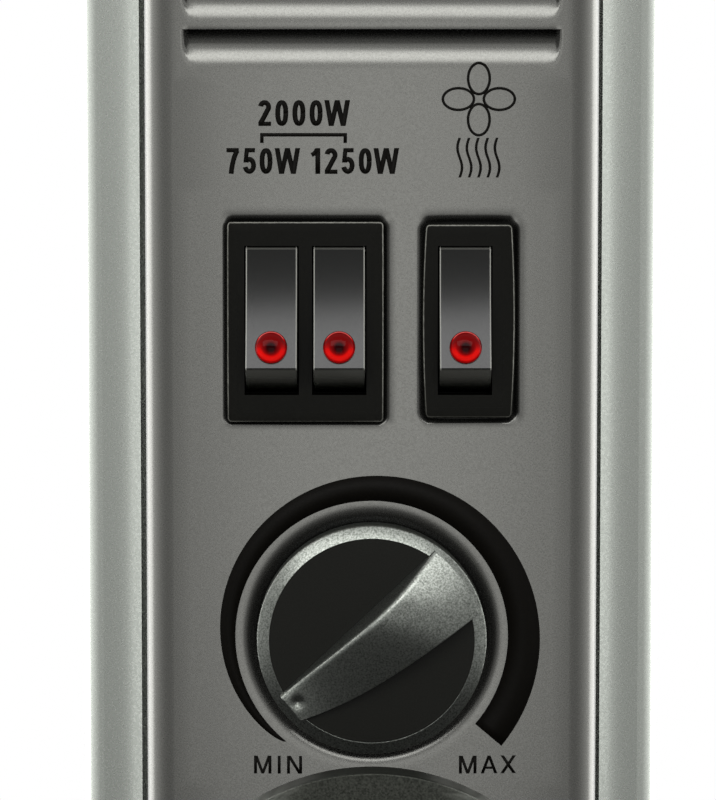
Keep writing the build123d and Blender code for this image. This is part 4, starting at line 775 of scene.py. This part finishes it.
X, Y, Z = 0, 1, 2
all_rows = np.concatenate([z for _, z in bands])
backwards = lines((PANEL_Y, PANEL_Y + EDGE_BEND, BEND_STEP), (PANEL_Y + EDGE_BEND, cover_high[1], 16))
sheets = [band_sheet(x, z) for x, z in bands]
sheets += [zip_rows(a[0], a[1][-1], b[0], b[1][0]) for a, b in zip(bands, bands[1:])]
sheets += [
    wall_sheet((Y, backwards[::-1]), (Z, all_rows), (X, -HALF)),
    wall_sheet((Y, backwards), (Z, all_rows), (X, HALF)),
    wall_sheet((X, plain), (Y, backwards), (Z, TOP)),
    wall_sheet((X, plain), (Y, backwards[::-1]), (Z, BOTTOM)),
]
print("sheets of the panel:", len(sheets))

# %% The panel
SHEET = 0.9


def cut_edges(piece, degrees):
    """Keeps edges crisp where two faces meet at more than an angle."""
    crisp = piece.modifiers.new("cut_edges", "EDGE_SPLIT")
    crisp.split_angle = math.radians(degrees)


def thicken(piece, name, thickness):
    """Gives an open sheet a thickness in millimetres, inwards from its face."""
    layer = piece.modifiers.new(name, "SOLIDIFY")
    layer.thickness = thickness * MM
    layer.offset = -1


panel = add_piece("front_panel", sheets, "heater", "panel_paint", ["front_cover"])
# Painted shade: the seams, slits and dish are darkened in the enamel's colour.
mark(panel, "painted_light_shade", seam_shade)
thicken(panel, "sheet", SHEET)
cut_edges(panel, 50)

# %% [markdown]
# ## Printed marks
# The scale and the legends are screen printed: a film of black ink a few hundredths of a millimetre thick.
# Each mark is a flat band between two lines worked out as arrays, and so are the strokes of the figures and
# letters: stems cut level, bars, and pen lines along curves. Only the plain power figures and the ends of
# the scale are lettered.

# %% Ink and flat marks
INK_LIFT, INK_FILM = 0.03, 0.02
ink = grained("black_screen_ink", "#0b0906", "#070604", 0.0, 0.55, 0.3, 0.002, 0.08)


def flat_band(first, second):
    """A flat sheet between two lines of (x, z from the knob) on the panel, turned to face the viewer."""
    rows = np.stack([first, second])
    along, over = rows[:, 1:] - rows[:, :-1], rows[1:] - rows[:-1]
    area = (along[0, :, 0] * over[0, :-1, 1] - along[0, :, 1] * over[0, :-1, 0]).sum()
    rows = rows if area > 0 else rows[::-1]
    x, z = rows[..., 0], rows[..., 1] + KNOB_Z
    points = np.stack([x, PANEL_Y + crown(x, PANEL_Y) - INK_LIFT, z], axis=-1)
    return points.reshape(-1, 3), [grid_faces(*rows.shape[:2])]


def print_marks(name, marks):
    """Printed bands, each a pair of lines, as one piece with the thickness of the ink."""
    piece = add_piece(name, [flat_band(*pair) for pair in marks], "heater", "insert_black", finish=ink)
    thicken(piece, "film", INK_FILM)


def ring(radius, angle):
    """Points at a radius and an angle from the knob's centre."""
    return np.stack([radius * np.cos(angle), radius * np.sin(angle)], axis=-1)


SCALE_RADIUS, SCALE_WIDTH, SCALE_GROWTH = 21.95, 5.6, 0.5
SCALE_MIN, SCALE_MAX = math.radians(231), math.radians(-40.5)
along = np.linspace(0, 1, 160) ** 2
angle = SCALE_MIN + (SCALE_MAX - SCALE_MIN) * along
width = SCALE_WIDTH * along**SCALE_GROWTH
print_marks("scale_crescent", [(ring(SCALE_RADIUS, angle), ring(SCALE_RADIUS + width, angle))])

# %% Fan pictogram
PETAL_LONG, PETAL_SHORT, PETAL_OFFSET, PEN = 2.68, 1.93, 3.26, 0.42
FAN_MARK = np.array([17.03, 86.17])
turn = np.linspace(0, -2 * math.pi, 65)
for number in range(4):
    outward = math.radians(90 * number)
    axis = np.array([math.cos(outward), math.sin(outward)])
    side = np.array([-math.sin(outward), math.cos(outward)])
    outer, inner_line = (
        FAN_MARK
        + axis * (PETAL_OFFSET + (PETAL_LONG - inset) * np.cos(turn)[:, None])
        + side * (PETAL_SHORT - inset) * np.sin(turn)[:, None]
        for inset in (0, PEN)
    )
    print_marks(f"fan_petal_{number + 1}", [(inner_line, outer)])

WAVE_PITCH, WAVE_HEIGHT, WAVE_SWING = 1.49, 6.3, 0.36
wave_x, wave_top = FAN_MARK - (0.05, 6.15)
down = np.linspace(0, 1, 40)
pen = np.array([PEN / 2, 0])
for number in range(5):
    swing = wave_x + WAVE_PITCH * (number - 2) - WAVE_SWING * np.sin(2 * math.pi * down)
    wave = np.stack([swing, wave_top - WAVE_HEIGHT * down], axis=-1)
    print_marks(f"warm_air_{number + 1}", [(wave - pen, wave + pen)])

# %% Bracket
BRACKET_LEFT, BRACKET_RIGHT, BRACKET_TOP, BRACKET_LOW = -17.79, -3.95, 80.78, 79.2
RULE = 0.56
along_top = np.linspace(0, 1, 12)[:, None]
outer, inner_line = (
    np.concatenate([
        [[BRACKET_LEFT + inset, BRACKET_LOW]],
        [BRACKET_LEFT + inset, BRACKET_TOP - inset]
        + along_top * [BRACKET_RIGHT - BRACKET_LEFT - 2 * inset, 0],
        [[BRACKET_RIGHT - inset, BRACKET_LOW]],
    ])
    for inset in (0, RULE)
)
print_marks("power_bracket", [(inner_line, outer)])

# %% Strokes
STROKE, THIN = 0.19, 0.165


def stem(low, high, width):
    """A straight stroke cut level at both ends."""
    points, half = np.array([low, high], float), np.array([width / 2, 0])
    return points - half, points + half


def stems(width, *pairs):
    """Straight strokes, each from a place on the base line to one on the cap line."""
    return [stem((low, 0), (high, 1), width) for low, high in pairs]


def bar(left, right, height, width=THIN):
    """A level stroke from left to right."""
    points, half = np.array([[left, height], [right, height]], float), np.array([0, width / 2])
    return points - half, points + half


def pen_line(points, width=STROKE):
    """A stroke along a curve: every point moved square to the curve by half the width, both ways."""
    points = np.array(points, float)
    along = np.gradient(points, axis=0)
    along /= np.linalg.norm(along, axis=1, keepdims=True)
    half = np.stack([-along[:, 1], along[:, 0]], axis=1) * width / 2
    return points - half, points + half


def bow_line(centre, radii, start, end, power=1.0):
    """Points of an oval arc between two angles in degrees; a power below one makes it squarer."""
    turn = np.radians(np.linspace(start, end, 33))
    unit = np.stack([np.cos(turn), np.sin(turn)], axis=1)
    return np.array(centre) + np.array(radii) * np.sign(unit) * np.abs(unit) ** power


print("strokes, as shares of the letters' height:", STROKE, "and", THIN)

# %% Glyphs
EDGE, BASE = STROKE / 2, THIN / 2
two = bow_line((0.25, 0.73), (0.25 - EDGE, 0.27 - EDGE), 170, -38)
two = np.concatenate([two, np.linspace(two[-1], (0.09, 0.09), 9)[1:]])
seven = np.linspace(0, 1, 17)[:, None]
seven = (1 - seven) ** 2 * (0.43, 0.9) + 2 * seven * (1 - seven) * (0.25, 0.6) + seven**2 * (0.19, 0.0)
flag = [(0.06, 0.73), (0.15, 0.78), (0.22, 0.86), (0.26, 0.94)]
# Each glyph: its width as a share of its height, then its strokes.
glyphs = {
    "0": (0.5, [pen_line(bow_line((0.25, 0.5), (0.25 - EDGE, 0.5 - EDGE), 0, 360, 0.85))]),
    "1": (0.4, [*stems(STROKE, (0.3, 0.3)), pen_line(flag, THIN)]),
    "2": (0.5, [pen_line(two), bar(0.01, 0.5, BASE)]),
    "5": (
        0.5,
        [
            bar(0.1, 0.46, 1 - BASE),
            stem((0.095, 0.44), (0.15, 1), THIN),
            pen_line(bow_line((0.24, 0.33), (0.26 - EDGE, 0.33 - EDGE), 140, -165)),
        ],
    ),
    "7": (0.5, [bar(0.01, 0.49, 1 - BASE), pen_line(seven)]),
    "W": (0.98, stems(STROKE, (0.26, 0.09), (0.26, 0.49), (0.72, 0.49), (0.72, 0.89))),
    "M": (0.96, stems(THIN, (0.08, 0.08), (0.48, 0.12), (0.48, 0.84), (0.88, 0.88))),
    "I": (0.15, stems(THIN, (0.075, 0.075))),
    "N": (0.83, [*stems(THIN, (0.08, 0.08)), *stems(STROKE, (0.72, 0.11)), *stems(THIN, (0.75, 0.75))]),
    "A": (0.9, [*stems(THIN, (0.08, 0.45), (0.82, 0.45)), bar(0.2, 0.7, 0.32, 0.13)]),
    "X": (0.84, stems(STROKE, (0.09, 0.75), (0.75, 0.09))),
}
print("glyphs:", *glyphs)

# %% Legends


def legend(name, words, gaps, centre, size):
    """Printed words: glyphs side by side with gaps between them, fitted to a size about a centre."""
    widths = np.array([glyphs[letter][0] for letter in words])
    starts = np.cumsum(np.append(0, widths[:-1] + np.array(gaps)))
    fit = np.array([size[0] / (starts[-1] + widths[-1]), size[1]])
    corner = np.array(centre) - np.array(size) / 2
    strokes = [
        tuple(corner + fit * (line + (start, 0)) for line in stroke)
        for letter, start in zip(words, starts)
        for stroke in glyphs[letter][1]
    ]
    print_marks(name, strokes)


CAPS, SMALL_CAPS = 4.1, 2.9
legend("legend_full_power", "2000W", (0.16, 0.16, 0.16, 0.07), (-10.79, 83.95), (14.63, CAPS))
legend("legend_low_power", "750W", (0.16, 0.14, 0.09), (-17.32, 76.34), (11.78, CAPS))
legend("legend_high_power", "1250W", (0.16, 0.16, 0.16, 0.07), (-2.76, 76.34), (14.17, CAPS))
legend("legend_least", "MIN", (0.36, 0.36), (-15.11, -20.9), (7.75, SMALL_CAPS))
legend("legend_most", "MAX", (0.24, 0.18), (18.7, -20.9), (9.2, SMALL_CAPS))

# %% [markdown]
# ## The thermostat knob
# The knob is a moulded cap: a rim turned on the axis, a black disc set into it, and a bar to grip that is
# narrow at the pointer and swells into the rim at its other end. The cap is a profile carried round the axis.
# To suit the light of the photograph, mirror reflections leave it out.

# %% Cap and disc
FACING = ((1, 0, 0), (0, 0, 1), (0, -1, 0))


def turned(profile, origin, right, up, out, steps=128):
    """A profile of (radius, height) carried round an axis: origin + r (cos t right + sin t up) + h out."""
    angle = np.linspace(0, 2 * math.pi, steps + 1)
    spoke = np.cos(angle)[:, None] * np.array(right) + np.sin(angle)[:, None] * np.array(up)
    profile = np.array(profile)
    radius, height = profile[:, 0, None, None], profile[:, 1, None, None]
    points = np.array(origin) + radius * spoke + height * np.array(out)
    points[:, -1] = points[:, 0]
    return points.reshape(-1, 3), [grid_faces(len(profile), steps + 1)]


def arc(centre, radius, start, end, count):
    """Points of an arc: the centre plus the radius times (cosine, sine) of angles evenly apart. A pair of
    radii makes it an oval's."""
    turn = np.linspace(start, end, count)
    return np.array(centre) + np.array(radius) * np.stack([np.cos(turn), np.sin(turn)], axis=1)


KNOB_RADIUS, RIM_INNER, SKIRT_END, DISC_HEIGHT = 18.4, 16.4, -1.4, 4.95
RIM_HEIGHT, CONE, CONE_BEND, LIP_ROUND = 5.0, math.radians(30), 0.5, 0.04
knob_frame = ((0, PANEL_Y, KNOB_Z), *FACING)
lean = math.pi / 2 - CONE
cone_foot = RIM_HEIGHT - (KNOB_RADIUS - RIM_INNER - CONE_BEND) * math.tan(CONE)
# Radius and height along the cap: the hollow below, the skirt, the cone, and the well for the disc.
cap_profile = np.concatenate([
    [[0, SKIRT_END + 0.6], [KNOB_RADIUS - 1.6, SKIRT_END + 0.6], [KNOB_RADIUS - 1.2, SKIRT_END]],
    [[KNOB_RADIUS - 0.2, SKIRT_END], [KNOB_RADIUS, SKIRT_END + 0.2], [KNOB_RADIUS, 1.2]],
    arc((KNOB_RADIUS - CONE_BEND, cone_foot - CONE_BEND), CONE_BEND, 0, lean, 7),
    arc((RIM_INNER + LIP_ROUND, RIM_HEIGHT - LIP_ROUND), LIP_ROUND, lean, math.pi, 12),
    [[RIM_INNER, DISC_HEIGHT - 0.6], [0, DISC_HEIGHT - 0.6]],
])
cap = add_piece("knob_cap", [turned(cap_profile, *knob_frame)], "thermostat_knob", "silver_plastic", ["knob"])
cap.visible_glossy = False
disc_edge, disc_back = RIM_INNER - 0.05, DISC_HEIGHT - 0.5
disc_profile = [[0, disc_back], [disc_edge, disc_back], [disc_edge, DISC_HEIGHT], [0, DISC_HEIGHT]]
disc_sheet = turned(disc_profile, *knob_frame)
disc = add_piece("knob_disc", [disc_sheet], "thermostat_knob", "insert_black", ["knob_insert"])
cut_edges(disc, 50)

# %% [markdown]
# The bar is a hipped roof: a steep plane on its left, a long one on its right, and ramps that fall to both
# ends. The lowest of the four is the surface, and a soft minimum rounds the ridges as the mould does. The
# broad end follows the circle of the rim, and a small dimple marks the narrow one.

# %% Outline of the grip
GRIP_REACH, GRIP_ROWS, GRIP_COLUMNS = 16.9, 120, 72
LEFT_FROM, LEFT_RUN, LEFT_START, LEFT_GAIN = -16.4, 31.6, 2.5, 2.35
RIGHT_PLACES = [-16.3, -11.9, -6.4, 0, 5.9, 11.1, 15.1]
RIGHT_EDGE = [-2.9, -4.5, -5.4, -6.3, -6.7, -7.1, -7.1]
CROWDING = 1.25
stations = np.linspace(-GRIP_REACH, GRIP_REACH, GRIP_ROWS)[:, None]
left_edge = LEFT_START + LEFT_GAIN * (stations - LEFT_FROM) / LEFT_RUN
right_edge = np.polyval(np.polyfit(RIGHT_PLACES, RIGHT_EDGE, 3), stations)
across_bar = left_edge + (right_edge - left_edge) * np.linspace(0, 1, GRIP_COLUMNS) ** CROWDING
widths = (left_edge - right_edge).ravel()
print("grip, mm:", round(widths[0], 2), "wide at the pointer,", round(widths.max(), 2), "at most")

# %% Roof of the grip
# Heights of the planes at a place along and across the bar, and their slopes in degrees.
LONG_HEIGHT, LONG_PLACE, LONG_SLOPES = 10.9, (5, 4), (5.7, 16.7)
WIDE_HEIGHT, WIDE_SLOPES = 5.5, (24, 5)
TIP_HEIGHT, TIP_PLACE, TIP_SLOPE, TIP_BEND = 6.5, -13, 18, 2
STEEP_HEIGHT, STEEP_SLOPE = 5.3, 74
RIDGE_ROUND, FACE_ROUND = 0.6, 1.3
DIMPLE_PLACE, DIMPLE_RADIUS, DIMPLE_DEPTH = (-15.3, -0.1), 0.75, 0.4


def slope(degrees):
    """How much a plane rises in each millimetre: the tangent of its angle."""
    return math.tan(math.radians(degrees))


def soft_least(heights, softness):
    """The least of several heights with rounded ridges: minus k times the log of the sum of exp(-h / k)."""
    return -softness * np.log(sum(np.exp(-height / softness) for height in heights))


long_face = LONG_HEIGHT + (stations - LONG_PLACE[0]) * slope(LONG_SLOPES[0])
long_face = long_face + (across_bar - LONG_PLACE[1]) * slope(LONG_SLOPES[1])
wide_ramp = WIDE_HEIGHT + (GRIP_REACH - stations) * slope(WIDE_SLOPES[0]) - across_bar * slope(WIDE_SLOPES[1])
tip_ramp = TIP_HEIGHT + slope(TIP_SLOPE) * TIP_BEND * np.log1p(np.exp((stations - TIP_PLACE) / TIP_BEND))
steep_face = STEEP_HEIGHT + (left_edge - across_bar) * slope(STEEP_SLOPE)
roof = soft_least([steep_face, soft_least([long_face, wide_ramp, tip_ramp], FACE_ROUND)], RIDGE_ROUND)
from_dimple = (stations - DIMPLE_PLACE[0]) / DIMPLE_RADIUS, (across_bar - DIMPLE_PLACE[1]) / DIMPLE_RADIUS
roof = roof - DIMPLE_DEPTH * np.exp(-(from_dimple[0] ** 2) - from_dimple[1] ** 2)
print("roof of the grip, mm:", round(float(roof.min()), 2), "to", round(float(roof.max()), 2))

# %% Grip
GRIP_ANGLE, GRIP_FOOT, GRIP_BEVEL, END_CIRCLE = math.radians(39), 4.4, 0.25, 17.6


def tube(points):
    """Rows of points, each ending where it starts, as a sheet: quads between them, a face on each end."""
    rows, columns = points.shape[:2]
    first = np.arange(columns - 1)[None, :]
    return points.reshape(-1, 3), [grid_faces(rows, columns), first[:, ::-1], (rows - 1) * columns + first]


foot = np.full((GRIP_ROWS, 1), GRIP_FOOT)
side = np.concatenate([left_edge, across_bar, right_edge, left_edge], axis=1)
height = np.concatenate([foot, roof, foot, foot], axis=1)
length = stations * np.where(stations > 0, np.sqrt(END_CIRCLE**2 - side**2) / GRIP_REACH, 1)
bar_points = np.stack(
    [
        length * math.cos(GRIP_ANGLE) - side * math.sin(GRIP_ANGLE),
        PANEL_Y - height,
        KNOB_Z + length * math.sin(GRIP_ANGLE) + side * math.cos(GRIP_ANGLE),
    ],
    axis=-1,
)
grip = add_piece("knob_grip", [tube(bar_points)], "thermostat_knob", "silver_plastic", ["knob"])
rounding = grip.modifiers.new("moulded_edges", "BEVEL")
rounding.width = GRIP_BEVEL * MM
rounding.segments = 3
rounding.angle_limit = math.radians(35)

# %% [markdown]
# ## Rockers and bezels
# A rocker is its side view carried across its width: a hollow face, two ends that are arcs about the pivot,
# and a plain back. Its long edges are rounded and carry a painted highlight, its upper edge carries a fainter
# one, and its lower end carries painted light. A fine bead round the front edge of each bezel carries a
# painted highlight too. The rockers are dark at the top in the photograph, so the strip behind the camera is
# kept off them, as a photographer does with a black card.

# %% Side view of a rocker
ROCKER_WIDTH, ROCKER_EDGE, ROCKER_HOLLOW = 8.2, 0.24, 0.78
FACE_HALF, FACE_OUT, END_RADIUS, BACK_HALF, BACK = 9.6, 7.448, 12.15, 7, -3
face_up = np.append(np.linspace(-FACE_HALF, FACE_HALF - 0.15, 41), FACE_HALF)
face = np.stack([face_up, FACE_OUT - ROCKER_HOLLOW * (1 - (face_up / FACE_HALF) ** 2)], axis=1)
end = arc((0, 0), END_RADIUS, math.atan2(FACE_OUT, FACE_HALF), math.asin(1 / END_RADIUS), 12)[1:]
outline = np.concatenate([face, end, [[BACK_HALF, BACK], [-BACK_HALF, BACK]], (end * (-1, 1))[::-1]])
along = np.roll(outline, -1, axis=0) - np.roll(outline, 1, axis=0)
inward = np.stack([along[:, 1], -along[:, 0]], axis=1) / np.linalg.norm(along, axis=1, keepdims=True)
quarter = np.linspace(0, math.pi / 2, 6)
inset = np.concatenate([1 - np.sin(quarter), (1 - np.sin(quarter))[::-1]]) * ROCKER_EDGE
half_width = ROCKER_WIDTH / 2 - ROCKER_EDGE * (1 - np.cos(quarter))
station_x = np.concatenate([-half_width, half_width[::-1]])
loops = outline + inset[:, None, None] * inward
loops = np.concatenate([loops, loops[:, :1]], axis=1)
print("side views of a rocker:", len(loops), "with", len(outline), "points each")

# %% Rockers
SWITCHES = ("low_power", "high_power", "fan")
ROCKER_TILT = math.radians(11.85)
PIVOT_Y, PIVOT_Z = PANEL_Y + 4.7, KNOB_Z + 51.47
# Shares of the painted highlight on the upper edge and of the painted light on the lower end.
UPPER_HIGHLIGHT, LOWER_END_LIGHT = 0.3, 0.13
FACE_FROM, END_FROM, END_FADE = 5, 2.0, 5
rocker_up = np.array([0, math.sin(ROCKER_TILT), math.cos(ROCKER_TILT)])
rocker_out = np.array([0, -math.cos(ROCKER_TILT), math.sin(ROCKER_TILT)])
flagged = bpy.data.collections.new("kept_from_the_strip_lamp")
strip.light_linking.receiver_collection = flagged


def painted_edge_light(local):
    """Painted highlight: one along the rounded sides of a rocker's face, less along its upper edge, and
    painted light on its lower end.
    """
    from_side, up, out = ROCKER_WIDTH / 2 - np.abs(local[:, 0]), local @ rocker_up, local @ rocker_out
    on_face = (out > FACE_FROM) & (up > -FACE_HALF - 0.1)
    along_side = (from_side > 0.02) & (from_side < 0.8 * ROCKER_EDGE)
    lower_end = LOWER_END_LIGHT * ease((out - END_FROM) / END_FADE) * (up < -FACE_HALF - 0.02)
    return on_face * np.where(along_side, 1.0, UPPER_HIGHLIGHT * (np.abs(up - FACE_HALF) < 0.05)) + lower_end


for switch in SWITCHES:
    rocker_low, rocker_high = corners(f"rocker_{switch}")
    pivot = np.array([(rocker_low[0] + rocker_high[0]) / 2, PIVOT_Y, PIVOT_Z])
    points = pivot + loops[..., :1] * rocker_up + loops[..., 1:] * rocker_out
    points[..., 0] += station_x[:, None]
    points, faces = tube(points)
    sheet = points, [group[:, ::-1] for group in faces]
    body, node = f"{switch}_rocker", f"rocker_{switch}"
    rocker = add_piece(f"rocker_cap_{switch}", [sheet], body, "rocker_grey", [node])
    # Painted highlights along the edges and painted light on the lower end.
    mark(rocker, "painted_light_shade", lambda points: painted_edge_light(points - pivot))
    flagged.objects.link(rocker)
    cut_edges(rocker, 40)

for flag in flagged.collection_objects:
    flag.light_linking.link_state = "EXCLUDE"

# %% Frames of the bezels
BEZEL_CORNER, BEZEL_ROUND, BEZEL_DEPTH, BEZEL_WIDTH, BEZEL_LIFT = 0.6, 0.22, 1.5, 1.6, 0.03
# Shares of the painted highlight on a bezel's front edge: left, right, above and below.
RIM_HIGHLIGHT = (0.7, 0.9, 1.0, 0.12)
bezel_front = double_low[1] - BEZEL_LIFT
section = np.concatenate([
    [[0, BEZEL_DEPTH]],
    arc((-BEZEL_ROUND, BEZEL_ROUND), BEZEL_ROUND, 0, -math.pi / 2, 6),
    [[-BEZEL_WIDTH, 0], [-BEZEL_WIDTH, BEZEL_DEPTH], [0, BEZEL_DEPTH]],
])
rng = np.random.default_rng(7)


def painted_rim_highlight(points, centre, size, bow):
    """A painted highlight on the front edge of a bezel: uneven along its rounding, strongest above, nothing
    elsewhere.
    """
    up = points[:, 2] - centre[1]
    across = points[:, 0] - centre[0]
    across = across / (1 + 2 * bow / size[0] * (1 - (2 * up / size[1]) ** 2))
    inside = -box_distance(across, up, (0, 0), size, BEZEL_CORNER)
    on_edge = (inside > 0.01) & (np.maximum(inside, points[:, 1] - bezel_front) < 0.9 * BEZEL_ROUND)
    return on_edge * by_side(across * 2, up * 2, (0, 0), size, RIM_HIGHLIGHT) * rng.uniform(0.4, 1.0, len(points))


for name, (centre, size, bow) in bezels.items():
    half = np.array(size) / 2
    side = np.linspace(-1, 1, 60)[:-1]
    one = np.ones_like(side)
    sides = [np.stack(pair, axis=1) for pair in ((one, side), (-side, one), (-one, -side), (side, -one))]
    border = np.concatenate([*sides, [[1, -1]]]) * half
    core = np.clip(border, BEZEL_CORNER - half, half - BEZEL_CORNER)
    outward = (border - core) / np.linalg.norm(border - core, axis=1, keepdims=True)
    reach = section[:, 0, None, None]
    rounded, square = core + (BEZEL_CORNER + reach) * outward, np.clip(border, -half - reach, half + reach)
    spot = np.where(reach > -BEZEL_CORNER, rounded, square)
    spot[..., 0] += bow * spot[..., 0] / half[0] * (1 - (spot[..., 1] / half[1]) ** 2)
    points = np.empty((*spot.shape[:2], 3))
    points[..., 0], points[..., 2] = spot[..., 0] + centre[0], spot[..., 1] + centre[1]
    points[..., 1] = bezel_front + section[:, 1, None]
    sheet = points.reshape(-1, 3), [grid_faces(*spot.shape[:2])]
    bezel = add_piece(f"bezel_frame_{name}", [sheet], "heater", "switch_black")
    mark(bezel, "painted_light_shade", lambda points: painted_rim_highlight(points, centre, size, bow))
    cut_edges(bezel, 50)

# %% [markdown]
# ## Indicator lenses
# Each rocker carries a clear red dome over a dark hole. Light enters it from above and gathers at the lower
# edge; that light and the dark of the hole are painted into its colour. The dome is turned on an axis square
# to the rocker's face, and an attribute tells the finish how bright each point is painted.

# %% Lens domes
LENS_RADIUS, LENS_RISE, LENS_BACK, LENS_SHIFT, LENS_SINK = 2.58, 1.6, -3.0, 0.25, 0.8
dome = arc((0, 0), (LENS_RADIUS, LENS_RISE), 0, math.pi / 2, 30)
dome_profile = np.concatenate([[[0, LENS_BACK], [LENS_RADIUS, LENS_BACK]], dome])
# Places in the dome as shares of its radius, then how bright or dark they are painted.
CORE_LOW, CORE_RADIUS, CORE_FADE, GATHER_FROM, GATHER_FADE = 0.1, 0.2, 0.28, 0.45, 0.25
RIM_FROM, RIM_FADE, GLINT_AT, GLINT_WIDTH = 0.86, 0.1, 0.9, 0.05
BODY_GLOW, GATHER_GLOW, MOST_GLOW, RIM_DARK, GLINT_GLOW = 0.42, 0.58, 0.85, 0.3, 0.97


def gathered_light(local):
    """How bright the acrylic is painted: a painted dark middle set a little low, red round it, painted
    brightest at the lower edge, with a painted glint as a thin pale line inside the upper one."""
    across, up = local[:, 0] / LENS_RADIUS, local @ rocker_up / LENS_RADIUS
    from_core, from_middle = np.hypot(across, up + CORE_LOW), np.hypot(across, up)
    lower_edge = ease(0.5 - 1.2 * up) * ease((from_middle - GATHER_FROM) / GATHER_FADE)
    glow = ease((from_core - CORE_RADIUS) / CORE_FADE) * (BODY_GLOW + GATHER_GLOW * lower_edge)
    glow = MOST_GLOW * np.clip(glow - RIM_DARK * ease((from_middle - RIM_FROM) / RIM_FADE), 0, 1)
    # The painted glint, a thin pale line inside the upper edge.
    line = GLINT_GLOW * np.exp(-(((from_middle - GLINT_AT) / GLINT_WIDTH) ** 2)) * ease(1.6 * up + 0.1)
    return np.maximum(glow, line)


for switch in SWITCHES:
    node = f"lens_{switch}"
    corner_points = np.array([v.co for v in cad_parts[node].data.vertices]) / MM
    heights, rises = corner_points @ rocker_out, corner_points @ rocker_up
    lens_low, lens_high = corners(node)
    origin = np.array([(lens_low[0] + lens_high[0]) / 2, 0, 0])
    origin = origin + rocker_up * ((rises.max() + rises.min()) / 2 + LENS_SHIFT)
    origin = origin + rocker_out * (heights.max() - LENS_SINK)
    sheet = turned(dome_profile, origin, (1, 0, 0), rocker_up, rocker_out, 64)
    lens = add_piece(f"lens_dome_{switch}", [sheet], f"{switch}_rocker", "lens_red", [node])
    mark(lens, "lens_glow", lambda points: gathered_light(points - origin))

# %% [markdown]
# ## The cord winder's plate
# A disc below the knob, lacquered dark silver: flat in front, with a small round edge, turned on its axis as
# the knob's cap is. Its edge carries painted highlights at both sides. Mirror reflections leave it out too.

# %% Winder plate
plate_low, plate_high = corners("winder_disc")
PLATE_ROUND, PLATE_CHAMFER, PLATE_INSET = 0.2, 0.8, 0.6
# Where the painted highlights on the plate's edge start and fade, in mm.
HIGHLIGHT_REACH, HIGHLIGHT_FADE, SIDES_FROM, SIDES_FADE = 3, 2.4, 8, 14
plate_radius = (plate_high[0] - plate_low[0]) / 2 - PLATE_INSET
plate_z = (plate_low[2] + plate_high[2]) / 2
corner = (plate_radius - PLATE_ROUND, plate_high[1] - plate_low[1] - PLATE_ROUND)
edge = arc(corner, PLATE_ROUND, 0, math.pi / 2, 10)
face_height = edge[-1, 1]
rings = np.linspace(plate_radius - 0.3, plate_radius - 4, 12)
plate_profile = np.concatenate([
    [[0, 0], [plate_radius - PLATE_CHAMFER, 0], [plate_radius, PLATE_CHAMFER]],
    edge,
    np.stack([rings, np.full(len(rings), face_height)], axis=1),
    [[0, face_height]],
])


def painted_plate_highlight(points):
    """A painted highlight on the plate's edge: at both sides, in specks, over the last of its radius."""
    across, up = points[:, 0], points[:, 2] - plate_z
    at_edge = ease((np.hypot(across, up) - plate_radius + HIGHLIGHT_REACH) / HIGHLIGHT_FADE)
    return at_edge * ease((np.abs(across) - SIDES_FROM) / SIDES_FADE) * rng.uniform(0.1, 1, len(points))


sheet = turned(plate_profile, (0, plate_high[1], plate_z), *FACING, 192)
lacquer = finishes["winder_lacquer"]
plate = add_piece("winder_plate", [sheet], "heater", "silver_plastic", ["winder_disc"], lacquer)
mark(plate, "painted_light_shade", painted_plate_highlight)
plate.visible_glossy = False
